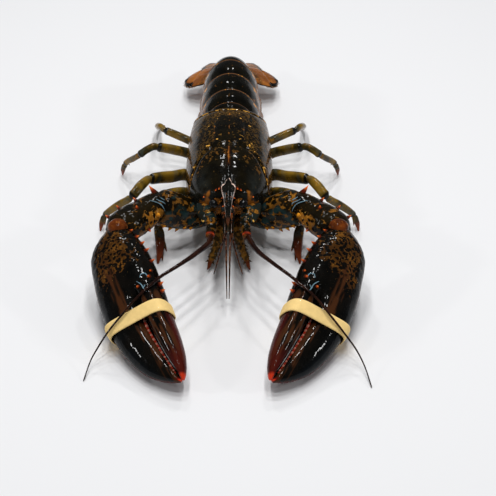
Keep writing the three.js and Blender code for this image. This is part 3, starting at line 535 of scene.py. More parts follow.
MATERIALS = {
    "shell": wet_material(
        "back_shell",
        ripple=RIPPLED,
        Deep=(0.0018, 0.0014, 0.0006),
        Ground=(0.006, 0.0042, 0.001),
        Mottle=(0.05, 0.026, 0.005),
        Bright=(0.12, 0.06, 0.011),
        Amber=(0.34, 0.115, 0.016),
        Gold=(0.72, 0.36, 0.06),
        # This grey-blue is partly the shell's own colour and partly a painted sheen and highlight on the
        # carapace.
        Blue=(0.07, 0.085, 0.08),
        Cells=680.0,
        Flecks=430.0,
    ),
    "ring": wet_material(
        "ring_shell",
        Deep=(0.0015, 0.0015, 0.001),
        Ground=(0.005, 0.004, 0.0018),
        Mottle=(0.05, 0.022, 0.004),
        Bright=(0.14, 0.06, 0.01),
        Amber=(0.2, 0.085, 0.032),
        Gold=(0.62, 0.25, 0.03),
        Blue=(0.03, 0.035, 0.03),
        Flecks=430.0,
    ),
    "rostrum": wet_material(
        "rostrum_shell",
        Deep=(0.002, 0.002, 0.0015),
        Ground=(0.005, 0.0045, 0.003),
        Mottle=(0.12, 0.035, 0.01),
        Bright=(0.2, 0.075, 0.02),
        Amber=(0.26, 0.075, 0.02),
        # This pinkish white, painted on the rostrum's margins, is a painted highlight.
        Gold=(0.78, 0.56, 0.46),
    ),
    "claw": wet_material(
        "claw_shell",
        Deep=(0.0015, 0.0015, 0.0012),
        Ground=(0.004, 0.003, 0.002),
        Mottle=(0.045, 0.017, 0.003),
        Bright=(0.17, 0.068, 0.01),
        Amber=(0.054, 0.018, 0.006),
        Blue=(0.008, 0.013, 0.018),
        Ember=(0.07, 0.006, 0.004),
        Red=(0.6, 0.04, 0.012),
    ),
    "arm": wet_material(
        "arm_shell",
        coat=0.65,
        ripple=RIPPLED,
        Deep=(0.0025, 0.0018, 0.0006),
        Ground=(0.01, 0.006, 0.0012),
        Mottle=(0.11, 0.045, 0.007),
        Bright=(0.34, 0.14, 0.015),
        Amber=(0.4, 0.15, 0.015),
        Blue=(0.02, 0.055, 0.056),
        Cells=300.0,
    ),
    "ragged": wet_material(
        "mouth_limb_shell",
        Deep=(0.018, 0.01, 0.003),
        Ground=(0.055, 0.03, 0.006),
        Mottle=(0.14, 0.062, 0.01),
        Bright=(0.32, 0.15, 0.02),
        Ember=(0.09, 0.018, 0.006),
        Red=(0.2, 0.04, 0.012),
    ),
    "knob": wet_material(
        "wrist_knob",
        Deep=(0.05, 0.011, 0.003),
        Ground=(0.17, 0.038, 0.006),
        Mottle=(0.22, 0.065, 0.01),
        Bright=(0.42, 0.15, 0.02),
        Cells=500.0,
    ),
    "bead": wet_material(
        "orange_beads",
        Deep=(0.5, 0.16, 0.012),
        Ground=(0.75, 0.3, 0.02),
        Mottle=(0.8, 0.38, 0.04),
        Bright=(0.85, 0.5, 0.08),
        Red=(0.85, 0.2, 0.02),
    ),
    "leg": wet_material(
        "leg_shell",
        coat=1.0,
        Deep=(0.03, 0.022, 0.005),
        Ground=(0.23, 0.13, 0.013),
        Mottle=(0.2, 0.095, 0.01),
        Bright=(0.46, 0.24, 0.028),
        Amber=(0.008, 0.007, 0.004),
        Blue=(0.05, 0.085, 0.085),
        Ember=(0.13, 0.028, 0.01),
        Red=(0.3, 0.05, 0.015),
        Cells=260.0,
    ),
    "fan": wet_material(
        "fan_shell",
        Deep=(0.2, 0.06, 0.01),
        Ground=(0.36, 0.12, 0.02),
        Mottle=(0.3, 0.1, 0.018),
        Bright=(0.42, 0.17, 0.04),
        Amber=(0.005, 0.004, 0.003),
        Blue=(0.045, 0.026, 0.009),
    ),
    "feeler": wet_material(
        "feeler_shell",
        coat=1.0,
        Deep=(0.009, 0.0025, 0.0014),
        Ground=(0.026, 0.0075, 0.0035),
        Mottle=(0.085, 0.026, 0.009),
        Bright=(0.2, 0.07, 0.02),
    ),
    "thorn": wet_material(
        "spine_shell", Deep=(0.012, 0.009, 0.005), Ground=(0.03, 0.015, 0.005), Red=(0.85, 0.16, 0.02)
    ),
    "flesh": wet_material(
        # This pale blue is bright partly as a painted highlight on the joint folds.
        "joint_skin", Deep=(0.02, 0.02, 0.016), Ground=(0.06, 0.05, 0.035), Blue=(0.2, 0.34, 0.42)
    ),
}


def plain_material(name, colour, roughness, coat=0.0, grain=600.0, vary=0.2, depth=0.0002, mirror=1.36):
    """One colour that varies a little, over a fine grain. `mirror` is the index of its coat."""
    material, tree, shader = new_material(name)
    speck = clouds(tree, grain, 4.0)["Fac"]
    dark = tuple(c * (1 - vary) for c in colour)
    shade = mix_colour(tree, rise(tree, speck, 0.3, 0.7), (*dark, 1), (*colour, 1))
    sockets = {
        "Base Color": shade,
        "Normal": relief(tree, speck, depth),
        "Roughness": roughness,
        "Specular IOR Level": 0.05,
        "Coat Weight": coat,
        "Coat IOR": mirror,
    }
    feed(tree, shader, sockets)
    return material


ENAMEL = dict(roughness=0.25, coat=0.8, grain=1400.0, vary=0.5)
MATERIALS["eye"] = plain_material(
    "eye_facets", (0.001, 0.001, 0.0012), 0.7, coat=1.0, grain=3000.0, depth=0.000002, mirror=1.32
)
MATERIALS["band"] = plain_material("rubber_band", (0.97, 0.69, 0.275), 0.5, coat=0.1, grain=350.0, vary=0.08)
MATERIALS["hair"] = plain_material("fringe_hair", (0.16, 0.085, 0.04), 0.6)
MATERIALS["tooth"] = plain_material("tooth_enamel", (0.46, 0.035, 0.014), **ENAMEL)
MATERIALS["pearl"] = plain_material("tooth_ridge", (0.75, 0.27, 0.19), **ENAMEL)
print("materials:", len(MATERIALS))

# %% [markdown]
# ## Thorns, teeth and hairs with Geometry Nodes
#
# Lobster plates carry dozens of spines and the tail fan carries hundreds of hairs. Each is one small cone,
# bent and swollen a little, that Geometry Nodes puts on a cloud of points. Every point carries its own
# `aim` and `size`, so one tree makes blunt knobs, sharp spines and fine hairs.

# %% A tree that grows a cone on every point
SHAPES = "NodeSocketGeometry"
LOOK = "NodeSocketMaterial"


def read_layer(tree, name, kind):
    return put(tree, "GeometryNodeInputNamedAttribute", {"Name": name}, data_type=kind).outputs[0]


def give_mesh(tree, geometry, material):
    """The end of a tree: plain geometry, shaded smooth, in its material."""
    real = put(tree, "GeometryNodeRealizeInstances", {"Geometry": geometry}).outputs[0]
    shaded = put(tree, "GeometryNodeSetShadeSmooth", {"Geometry": real}).outputs[0]
    painted = put(tree, "GeometryNodeSetMaterial", {"Geometry": shaded, "Material": material}).outputs[0]
    put(tree, "NodeGroupOutput", {"Geometry": painted})


def make_thorn_tree():
    tree, given = new_group(
        "thorns",
        "GeometryNodeTree",
        {
            "Geometry": SHAPES,
            "Sides": 8,
            "Rings": 5,
            "Bend": 0.5,
            "Belly": 0.9,
            "Hot": 0.7,
            "Vary": 0.0,
            "Seed": 1,
            "Material": LOOK,
        },
        {"Geometry": SHAPES},
    )
    sockets = {
        "Vertices": given["Sides"],
        "Side Segments": given["Rings"],
        "Radius Top": 0.02,
        "Radius Bottom": 1.0,
        "Depth": 1.0,
    }
    cone = put(tree, "GeometryNodeMeshCone", sockets).outputs["Mesh"]
    place = put(tree, "GeometryNodeInputPosition").outputs[0]
    x, y, height = put(tree, "ShaderNodeSeparateXYZ", {"Vector": place}).outputs
    left = calculate(tree, "SUBTRACT", 1.0, height)
    belly = calculate(tree, "MULTIPLY", calculate(tree, "MULTIPLY", height, left), given["Belly"])
    bend = calculate(tree, "MULTIPLY", calculate(tree, "MULTIPLY", height, height), given["Bend"])
    belly_y = calculate(tree, "MULTIPLY", y, belly)
    sockets = {"X": calculate(tree, "MULTIPLY", x, belly), "Y": calculate(tree, "ADD", belly_y, bend)}
    offset = put(tree, "ShaderNodeCombineXYZ", sockets).outputs[0]
    bent = put(tree, "GeometryNodeSetPosition", {"Geometry": cone, "Offset": offset}).outputs[0]
    heat = rise(tree, height, calculate(tree, "SUBTRACT", 1.0, given["Hot"]), 1.0)
    sockets = {"Geometry": bent, "Name": "red", "Value": heat}
    hot = put(tree, "GeometryNodeStoreNamedAttribute", sockets, data_type="FLOAT", domain="POINT").outputs[0]
    aim = read_layer(tree, "aim", "FLOAT_VECTOR")
    turn = put(tree, "FunctionNodeAlignRotationToVector", {"Vector": aim}, axis="Z").outputs[0]
    chance = put(tree, "FunctionNodeRandomValue", {"Seed": given["Seed"]}, data_type="FLOAT").outputs[1]
    shrink = calculate(tree, "SUBTRACT", 1.0, calculate(tree, "MULTIPLY", chance, given["Vary"]))
    sockets = {0: read_layer(tree, "size", "FLOAT_VECTOR"), "Scale": shrink}
    scale = put(tree, "ShaderNodeVectorMath", sockets, operation="SCALE").outputs[0]
    sockets = {"Points": given["Geometry"], "Instance": hot, "Rotation": turn, "Scale": scale}
    give_mesh(tree, put(tree, "GeometryNodeInstanceOnPoints", sockets).outputs[0], given["Material"])
    return tree


def bake_nodes(name, points, edges, layers, tree, values):
    """A mesh of points with vector and number layers, turned into a plain mesh by a tree."""
    data = bpy.data.meshes.new(name)
    data.from_pydata(to_frame(points).tolist(), edges, [])
    for key, layer_values in layers.items():
        layer_values = np.asarray(layer_values, np.float32)
        kind, field = ("FLOAT_VECTOR", "vector") if layer_values.ndim == 2 else ("FLOAT", "value")
        layer = data.attributes.new(key, kind, "POINT")
        layer.data.foreach_set(field, layer_values.ravel())
    piece = new_object(name, data)
    modifier = piece.modifiers.new("grow", "NODES")
    modifier.node_group = tree
    for item in tree.interface.items_tree:
        if item.in_out == "INPUT" and item.name in values:
            modifier[item.identifier] = values[item.name]
    graph = bpy.context.evaluated_depsgraph_get()
    baked = bpy.data.meshes.new_from_object(piece.evaluated_get(graph))
    piece.modifiers.remove(modifier)
    piece.data = baked
    bpy.data.meshes.remove(data)
    return piece


THORNS = make_thorn_tree()
print("thorn tree:", len(THORNS.nodes), "nodes")
SUNK = 0.35  # share of a spine's length that is sunk in the plate


def grow_thorns(name, rows, material, slot, **values):
    """Rows are (root, aim, length, radius) in mm. The result is one piece."""
    aims = unit([row[1] for row in rows])
    lengths = np.array([row[2] for row in rows], float)
    radii = np.array([row[3] for row in rows], float)
    roots = np.array([row[0] for row in rows], float) - aims * (SUNK * lengths)[:, None]
    sizes = np.column_stack([radii, radii, lengths * (1 + SUNK)]) * MM
    values = {"Material": MATERIALS[material], **values}
    piece = bake_nodes(name, roots, [], {"aim": aims, "size": sizes}, THORNS, values)
    return settle(piece, slot)


# %% [markdown]
# ## The carapace
#
# One arched plate covers head and chest. Its sides hang down over the gills, the cervical groove crosses it
# like a saddle strap, and its hind edge has a raised rim. It is a formula of the distance from the hind
# edge and the angle from the top, so the grooves can be cut exactly where the animal has them.

# %% Sweep the carapace
BACK_HEIGHT = 60
CARAPACE_LENGTH = 92
CARAPACE_FRONT = 97
EYE_PLACE = np.array((9.6, -97.8, 50.2))
EYE_RADIUS = 2.9
EYE_RADII = EYE_RADIUS * np.array((1.05, 1, 0.98))
SOCKET_GAP = 0.7
HIND_LOBE = 9
CARAPACE = smooth([
    # forward from the hind edge, half width, top, widest level, lower edge
    [0, 25.4, BACK_HEIGHT, 38, 24],
    [8, 27.2, 61.8, 37, 20],
    [22, 28.9, 63.6, 35.5, 18],
    [40, 29.4, 64.6, 34.5, 17.5],
    [56, 29, 64.6, 34, 17.5],
    [70, 27.4, 63.2, 34.5, 20.5],
    [82, 24.6, 61, 37, 25],
    [CARAPACE_LENGTH, 19.5, 58.6, 41, 31],
    [95.5, 13, 57.4, 43, 35.5],
    [CARAPACE_FRONT, 6, 56.4, 45, 40],
])
CERVICAL_GROOVE = smooth([
    # degrees round from the top, place forward of the hind edge, depth
    [0, 50, 1.5],
    [14, 50.4, 1.6],
    [26, 52, 1.6],
    [38, 56.6, 1.5],
    [50, 62.5, 1.4],
    [80, 72, 1.1],
    [110, 80, 0.6],
    [180, 87, 0],
])
HOOK_LINE = smooth([
    # degrees round from the top, place forward of the hind edge of the gold line behind the groove
    [0, 38],
    [8, 38.4],
    [20, 40.2],
    [26, 43.2],
    [32, 46.8],
    [38, 52.4],
    [46, 58.2],
    [54, 62],
    [75, 69],
    [110, 78],
    [180, 84],
])
GILL_GROOVE = smooth([
    # forward from the hind edge, degrees round from the top, depth
    [2, 14, 0.0],
    [12, 16, 0.3],
    [28, 17, 0.4],
    [40, 18, 0.4],
    [50, 23, 0.3],
])
GOLD_SPOTS = [
    # forward from the hind edge, degrees round from the top, radius
    (48.2, 26.5, 1.3),
    (43.3, 14, 1.0),
    (60.5, 54, 1.3),
    (16, 15, 0.9),
    (9, 13, 0.9),
    (24, 27, 1.0),
]
MM_PER_DEGREE = 0.46  # along the plate's section, about


def carapace_point(forward, degrees):
    wide, top, middle, low = np.moveaxis(CARAPACE(forward), -1, 0)
    angle = np.radians(degrees)
    up = np.cos(angle)
    half = np.where(up > 0, top - middle, middle - low)
    corner = np.where(up > 0, 2.15, 2.9)
    fold = folded(degrees)
    groove, depth = np.moveaxis(CERVICAL_GROOVE(fold), -1, 0)
    inset = depth * hump(forward - groove, 2.0)
    gill, gill_depth = np.moveaxis(GILL_GROOVE(forward), -1, 0)
    inset = inset + gill_depth * hump(fold - gill, 1.6) * (forward < 52)
    inset = inset + 0.5 * hump(forward - 3.4, 0.9) - 0.25 * hump(forward - 1.2, 0.9)
    x = (wide - inset) * power(np.sin(angle), 2 / corner)
    z = middle + (half - inset) * power(up, 2 / corner)
    lobe = HIND_LOBE * smoothstep(top - z, 0, top - middle) * (1 - smoothstep(forward, 0, 30))
    chin = 0.3 * np.maximum(0, top - z) * smoothstep(forward, 70, 95)
    y = -forward + lobe * np.where(up > 0, 1, 1 + 0.6 * up) + chin
    return np.stack([x, y, z], axis=-1)


def scoop(points, centre, radius):
    """Points inside a ball are pushed out to its surface, which leaves a socket."""
    offset = points - centre
    reach = np.linalg.norm(offset, axis=-1, keepdims=True)
    return np.where(reach < radius, centre + offset / np.maximum(reach, 1e-6) * radius, points)


def carapace_grid():
    """Points on the plate, and the place forward and degrees round of each."""
    fine = np.concatenate([[0, 0.5, 1.1], np.linspace(2, 176.5, 118)])
    degrees = np.concatenate([fine, [180], 360 - fine[:0:-1]])
    forward = np.concatenate([
        np.linspace(0, 6, 16),
        np.linspace(6.5, 90, 176),
        np.linspace(90.5, CARAPACE_FRONT, 20),
    ])
    f, d = np.meshgrid(forward, degrees, indexing="ij")
    return carapace_point(f, d), f, d


def dashes(place, length, share, seed=0.0):
    """1 on irregular dashes along a line and 0 between them."""
    turns = place / length
    wave = np.sin(2 * math.pi * (turns + seed)) + 0.6 * np.sin(2 * math.pi * (0.37 * turns + seed))
    return smoothstep(wave, 0.9 - 1.8 * share, 1.2 - 1.8 * share)


# %% Paint the carapace
def gold_lines(f, fold, behind, on_back, seed):
    """The gold dashes along the grooves and the rim, and the single gold spots."""
    hook = HOOK_LINE(fold)[..., 0]
    hook_dashes = dashes(fold, 13, 0.62, seed) * smoothstep(fold, 7, 10) * (1 - smoothstep(fold, 74, 84))
    line = 1.4 * hump(f - hook, 0.36) * hook_dashes
    inner_dashes = dashes(fold, 16, 0.4, seed + 0.3) * smoothstep(fold, 24, 30)
    inner_line = hump(f - hook - 2.6, 0.45) * inner_dashes
    spots = sum(
        hump(f - at, size) * hump((fold - turn) * MM_PER_DEGREE, size) for at, turn, size in GOLD_SPOTS
    )
    flecks = (0.15 * hump(f - hook - 2, 4) + 0.25 * hump(f - 8, 6)) * on_back * smoothstep(fold, 3, 8)
    rim_line = 1.2 * hump(f - 2.2, 0.4) * dashes(fold, 21, 0.6, seed)
    return np.maximum.reduce([flecks * behind, line, inner_line, rim_line, 1.1 * spots])


def build_carapace():
    points, f, d = carapace_grid()
    fold = folded(d)
    groove = CERVICAL_GROOVE(fold)[..., 0]
    gill = GILL_GROOVE(f)[..., 0]
    lumps = roughness_of(points, 5.5)
    streaks = roughness_of(points * (1, 0.3, 1), 2.2)
    points[..., 2] += 0.1 * lumps
    for side in SIDES.values():
        points = scoop(points, EYE_PLACE * (side, 1, 1), EYE_RADIUS + SOCKET_GAP)

    ahead = smoothstep(f - groove, -1.5, 1.5)
    behind = 1 - ahead
    on_side = smoothstep(fold, 44, 66)
    on_back = 1 - on_side
    face = smoothstep(f, 88, 93) * (1 - smoothstep(points[..., 2], 44, 49))
    median = hump(fold, 0.8) * smoothstep(np.abs(f - 50), 1.5, 3) * smoothstep(f, 6, 12)
    median = median * np.where(f < 50, dashes(f, 9, 0.4), 1.0)
    out = np.abs(points[..., 0])
    cheek = hump(out - 13.8, 3) * smoothstep(f, 87, 93) * (0.9 + 0.5 * roughness_of(points, 2.5))
    # Painted highlight: a thin pale line along the hind lip of the cervical groove.
    pale = hump(f - groove - 3.2, 0.3) * smoothstep(fold, 20, 30) * (1 - smoothstep(fold, 70, 90))
    side_line = hump(fold - gill - 1.2, 0.7) * smoothstep(f, 12, 20) * (1 - smoothstep(f, 42, 46))
    middle = behind * (1 - smoothstep(fold, gill - 3, gill + 2)) * smoothstep(f, 14, 20)
    blobs = smoothstep(roughness_of(points, 3.4), -0.05, 0.2)
    rust = hump(f - groove - 9, 8) * on_back * (0.3 + 0.7 * blobs)
    # Painted sheen: grey-blue over the sides of the gastric region, where the room's light is reflected.
    painted_side_sheen = hump(f - groove - 30, 14) * hump(fold - 46, 14)

    warm = 0.15 + 0.15 * lumps + 0.75 * rust + behind * (0.58 + 0.5 * streaks) * (1 - 0.65 * middle)
    warm = warm + 0.25 * hump(f - 6, 6) * on_back + (0.16 * behind - 0.3 * ahead) * on_side + 0.85 * face
    amber = np.maximum(0.95 * cheek, 0.75 * median) + 0.62 * side_line
    amber = amber + 0.25 * behind * on_side + 0.22 * rust + 0.62 * face
    gold = gold_lines(f, fold, behind, on_back, np.where(d > 180, 0.37, 0.0)) * (1 - median)
    # In blue, the share ahead of the groove on the sides and the one at the temples are a painted grey sheen.
    blue = 0.5 * pale + 0.3 * side_line + 0.1 * ahead * on_side + 0.2 * painted_side_sheen
    paint = dict(warm=warm, amber=amber, gold=gold, blue=blue, red=0.12 * hump(fold - 1, 2) * ahead)
    shell = Shell().add(points[:, ::-1], **{key: values[:, ::-1] for key, values in paint.items()})
    shell.finish("carapace_skin", "shell", "shell", "carapace")


build_carapace()
print("carapace:", CARAPACE_FRONT, "mm long, painted with warm, amber, gold, blue and red")

# %% Sweep the rostrum and grow the spines of the head
ROSTRUM = Limb([
    [0, -62, 63, 0.7, 0.7],
    [0, -72, 61.6, 1.6, 1.4],
    [0, -80, 60.2, 3.4, 1.7],
    [0, -88, 58.9, 4.8, 2.1],
    [0, -96, 58, 4.3, 2.3],
    [0, -106, 57.2, 2.7, 2],
    [0, -117, 56.7, 1.7, 1.5],
    [0, -125, 56.7, 1.1, 1],
    [0, -129, 56.9, 0.5, 0.5],
], corner=1.8)
HEAD_SPINES = [
    # out, y, z, direction out, forward and up, length, radius
    (3.2, -101.5, 57.6, 0.6, 0.8, 0.15, 2.2, 0.75),
    (2.5, -109.5, 56.9, 0.5, 0.85, 0.2, 2.4, 0.9),
    (1.9, -117, 56.6, 0.45, 0.88, 0.2, 1.7, 0.6),
    (5.6, -91, 57.4, 0.15, 0.95, 0.3, 4.4, 1.3),
    (7.6, -91.5, 56.6, 0.25, 0.95, 0.3, 4, 1.2),
    (15.6, -87.5, 49.5, 0.1, 0.98, 0.1, 5, 1.6),
]


def rostrum_section(s, degrees):
    """Two raised margins, a trough inside each and a keel between them."""
    fold = folded(degrees)
    wide = smoothstep(s, 12, 24)
    return 1 + wide * (0.16 * hump(fold - 60, 9) - 0.2 * hump(fold - 38, 12)) + 0.07 * hump(fold, 9)


def build_rostrum():
    length = ROSTRUM.length
    points, s, degrees = ROSTRUM.grid(110, 96, domes=(0, 0.5), shape=rostrum_section)
    fold = folded(degrees)
    tipward = smoothstep(s, 0.76 * length, 0.95 * length)
    leaf = 8 + 54 * smoothstep(s, 22, 32)
    # The margins carry a painted highlight: a pinkish-white line where the raised edges catch the light.
    margin = hump(fold - leaf, 6) * smoothstep(s, 21, 25) * (1 - smoothstep(s, 0.85 * length, length))
    keel = hump(fold, 3) * (1 - smoothstep(s, 12, 20))
    below = smoothstep(fold, 84, 100)
    shell = Shell().add(
        points,
        warm=0.15 + 0.4 * below,
        amber=0.6 * tipward + 0.5 * below + 0.5 * keel,
        red=0.1 * tipward + 0.12 * hump(fold - 72, 6),
        gold=1.4 * margin * (0.85 + 0.25 * roughness_of(points, 2.5)),
    )
    shell.finish("rostrum_skin", "rostrum", "shell")


build_rostrum()
rows = [
    ((side * out, y, z), (side * aim_out, -ahead, aim_up), length, radius)
    for out, y, z, aim_out, ahead, aim_up, length, radius in HEAD_SPINES
    for side in SIDES.values()
]
grow_thorns("head_spines", rows, "thorn", "shell", Hot=0.9)
print("carapace and", len(rows), "head spines")

# %% [markdown]
# ## The abdomen
#
# Six rings telescope into each other. The hard back of a ring runs down each side into a pointed flap, the
# pleuron, so back and flaps are one curved sheet here, thickened inwards. A soft belly closes each ring
# below.

# %% Shape one ring
ABDOMEN_START = np.array((0, 2.5, BACK_HEIGHT - 1.4))
SEGMENTS = [
    # length along the back, slope down in degrees, half width, heights above and below the widest level,
    # drop of the pleuron, length of the swimmeret
    dict(length=7.5, slope=0, half=20.6, upper=29, lower=4, pleuron=0, swimmeret=0),
    dict(length=16.5, slope=-3, half=21.8, upper=31, lower=5, pleuron=7.5, swimmeret=14),
    dict(length=20, slope=-2, half=21.5, upper=31, lower=5, pleuron=7.5, swimmeret=14),
    dict(length=19, slope=1, half=20.4, upper=30, lower=5, pleuron=7.5, swimmeret=13),
    dict(length=18, slope=25, half=17.8, upper=26, lower=5, pleuron=7, swimmeret=10),
    dict(length=21, slope=44, half=14.8, upper=20, lower=5, pleuron=5, swimmeret=0),
]
SEGMENT_SWELL = smooth([
    # share of the length, scale of the section
    [-0.35, 0.86],
    [0, 0.94],
    [0.12, 0.965],
    [0.5, 1],
    [0.88, 1],
    [1, 0.985],
])
SEGMENT_BOW = math.tan(math.radians(7))
ARCH = 96  # degrees from the top at which the back turns into the pleuron
FLAP = 0.74  # share of the sheet's half width that is the back
PLEURON_FLARE = 2.4
TERGITE_THICKNESS = 0.9
BELLY_INSET = 1.6
SWIMMERET_SPREAD = 2.6  # between the ends of the two paddles of a swimmeret


def axes_of(segment):
    slope = math.radians(segment["slope"])
    along = np.array((0, math.cos(slope), -math.sin(slope)))
    up = np.array((0, math.sin(slope), math.cos(slope)))
    return along, up


def segment_point(segment, share, degrees, grow=0.0):
    along, up = axes_of(segment)
    swell = SEGMENT_SWELL(share)[..., 0]
    angle = np.radians(degrees)
    cosine = np.cos(angle)
    half = np.where(cosine > 0, segment["upper"], segment["lower"]) * swell + grow
    corner = np.where(cosine > 0, 2, 4)
    bow = segment["length"] * SEGMENT_BOW * share * (1 - share)
    rim = 0.3 * hump(share - 0.975, 0.02) - 0.35 * hump(share - 0.9, 0.03)
    height = -segment["upper"] + (half + rim) * power(cosine, 2 / corner) + bow
    across = (segment["half"] * swell + grow + rim) * power(np.sin(angle), 2 / corner)
    place = segment["start"] + along * (share * segment["length"])[..., None]
    return place + up * height[..., None] + np.array(SIDEWAYS) * across[..., None]


def tergite_sheet(segment, rings=60, lanes=181):
    """The back and both pleura as a grid of points, front to hind edge and side to side."""
    u, v = np.meshgrid(np.linspace(-0.35, 1, rings), np.linspace(-1, 1, lanes), indexing="ij")
    side = np.sign(v)
    reach = np.abs(v)
    back = np.minimum(reach / FLAP, 1)
    flap = np.clip((reach - FLAP) / (1 - FLAP), 0, 1)
    narrow = (1 - flap**2.2) ** 0.6 * 0.97 + 0.03
    share = np.where(flap > 0, 0.5 + 0.34 * flap**1.4 + (u - 0.5) * narrow, u)
    drop = segment["pleuron"] * flap
    points = segment_point(segment, share, side * back * ARCH) - axes_of(segment)[1] * drop[..., None]
    points[..., 0] += side * PLEURON_FLARE * np.sin(0.62 * math.pi * flap) * (segment["pleuron"] > 0)
    return points, u, reach, flap


def slab(points, thickness):
    """A sheet of points as a closed thin wall: its rings run once round outside and inside."""
    normal = np.cross(np.gradient(points, axis=1), np.gradient(points, axis=0))
    normal = normal / np.maximum(np.linalg.norm(normal, axis=-1, keepdims=True), 1e-9)
    inner = points - normal * thickness
    return np.concatenate([points, inner[:, ::-1]], axis=1)


# %% Build the six rings
def build_back(segment, number):
    sheet, u, reach, flap = tergite_sheet(segment)
    lumps = roughness_of(sheet, 4)
    marks = smoothstep(roughness_of(sheet, 2.6), -0.25, 0.2)
    edge = hump(u - 0.93, 0.02) * (0.45 + 0.5 * marks * smoothstep(reach, 0.1, 0.3))
    corner_dot = hump(u - 0.8, 0.12) * hump(reach - 0.42, 0.045)
    flank = smoothstep(reach + 0.1 * lumps, 0.34, 0.54) * (0.85 + 0.25 * lumps)
    paint = dict(
        warm=0.15 + 0.15 * lumps + 0.3 * hump(u - 0.88, 0.12) + 0.3 * flap,
        amber=0.85 * hump(u - 0.93, 0.035) + 0.95 * flank,
        gold=np.maximum(edge, 1.4 * corner_dot),
        red=0.1 * smoothstep(flap, 0.3, 1),
        blue=0.2 * flap,
    )
    paint = {key: np.concatenate([values, values[:, ::-1]], axis=1) for key, values in paint.items()}
    shell = Shell().add(slab(sheet, TERGITE_THICKNESS), **paint)
    shell.finish("abdomen_back_" + number, "ring", "shell", "abdomen_" + number)


def swimmeret_blade(root, long, spread):
    """One flat paddle that hangs back from its root, its end moved out by `spread`."""
    x, y, z = root
    return Limb([
        [x, y, z + 3, 1.6, 1.2],
        [x, y, z - 1, 2, 1.1],
        [x + 0.5 + spread, y + 0.15 * long, z - 0.35 * long, 2.4, 0.7],
        [x + 0.8 + spread, y + 0.4 * long, z - 0.7 * long, 2.2, 0.5],
        [x + 0.8 + spread, y + 0.6 * long, z - 0.9 * long, 0.7, 0.35],
    ])


def build_belly(segment, number):
    u, d = np.meshgrid(np.linspace(-0.3, 0.94, 16), np.linspace(0, 360, 48, endpoint=False), indexing="ij")
    belly = Shell().add(segment_point(segment, u, d, -BELLY_INSET)[:, ::-1], blue=0.2)
    if segment["swimmeret"]:
        root = segment_point(segment, np.array(0.55), np.array(150.0))
        for side in SIDES.values():
            for spread in (0, SWIMMERET_SPREAD):
                blade = swimmeret_blade(root, segment["swimmeret"], spread)
                belly.add(blade.grid(18, 16, domes=(0, 0.6))[0], side, blue=0.1, warm=0.4)
    belly.finish("abdomen_belly_" + number, "flesh", "leg")


place = ABDOMEN_START.copy()
for number, segment in enumerate(SEGMENTS, start=1):
    segment["start"] = place.copy()
    place = place + axes_of(segment)[0] * segment["length"]
    build_back(segment, str(number))
    build_belly(segment, str(number))
print("abdomen rings:", len(SEGMENTS))

# %% [markdown]
# ## The tail fan
#
# The telson in the middle and two blades on each side open like a hand fan. A blade is a thin limb with a
# keel, a dark rim, and a fringe of hairs round its free edge. The outer blade has a seam across it near its
# end.

# %% Sweep the five blades
TELSON = Limb([
    [0, 90, 35, 7.5, 4],
    [0, 98, 31, 9.2, 4.2],
    [0, 106, 26.5, 9.8, 3],
    [0, 116, 20.5, 9.4, 2.2],
    [0, 124, 15.8, 8, 1.7],
    [0, 129.5, 12.6, 5, 1.3],
    [0, 131.5, 11.6, 2.2, 1],
], corner=2.3)
INNER_BLADE = Limb([
    [6, 93, 28, 3, 2.6],
    [8, 99, 26, 5, 2],
    [10.5, 108, 22.5, 7.5, 1.5],
    [12.8, 117, 19.3, 8.8, 1.3],
    [14.6, 124.5, 16.8, 8, 1.1],
    [15.8, 129.5, 15.2, 5.4, 0.9],
    [16.4, 132, 14.4, 2.4, 0.8],
], across=(0.95, -0.28, -0.12), corner=2.3)
OUTER_BLADE = Limb([
    [8, 94, 26, 3, 2.6],
    [12.5, 99, 24, 8, 2],
    [18, 104, 20.8, 11.5, 1.6],
    [24, 108.5, 17, 12.3, 1.4],
    [29.5, 111.5, 13.8, 10, 1.2],
    [33, 113, 11.8, 6, 1],
    [34.8, 113.6, 10.8, 2.2, 0.8],
], across=(0.56, -0.8, -0.2), corner=2.3)
FAN_SEAM = 0.72  # share of the outer blade's length
HAIR_LENGTH = 2.6
HAIR_RADIUS = 0.13
HAIR_SHAPE = {"Sides": 4, "Rings": 2, "Bend": 1.2, "Belly": 0.0, "Hot": 0.2, "Vary": 0.45}


def blade_relief(seam):
    """A keel down the middle, fine ribs beside it and, on the outer blade, a seam across."""

    def section(s, degrees):
        fold = folded(degrees, 180)
        ribs = 0.02 * np.cos(np.radians(fold) * 14)
        ribbed = ribs * smoothstep(fold, 8, 20) * (1 - smoothstep(fold, 55, 75))
        cut = 0.3 * hump(s - seam, 0.8) if seam else 0.0
        return 1 + 0.14 * hump(fold, 7) + ribbed - cut

    return section


def build_blade(name, blade, side, outer):
    length = blade.length
    seam = FAN_SEAM * length if outer else 0
    points, s, degrees = blade.grid(70, 64, domes=(0, 0.8), shape=blade_relief(seam))
    end = smoothstep(s, 0.84 * length, 0.97 * length)
    hind = smoothstep(s, 0.5 * length, 0.7 * length) * smoothstep(np.sin(np.radians(degrees)), 0.5, 0.72)
    rim = np.maximum.reduce([smoothstep(folded(degrees, 180), 70, 80), hind, end])
    rooted = 1 - smoothstep(s, 0.34 * length, 0.52 * length)
    dark = (0.85 * rooted if outer else 0.9) * (0.75 + 0.5 * roughness_of(points, 3.5))
    warm = 0.35 * (1 - rim) if outer else 0.3
    shell = Shell().add(points, side, warm=warm, amber=rim, blue=dark * (1 - rim), gold=0.3 * (dark > 0.4))
    shell.finish(name + "_blade", "fan", "fan", name)


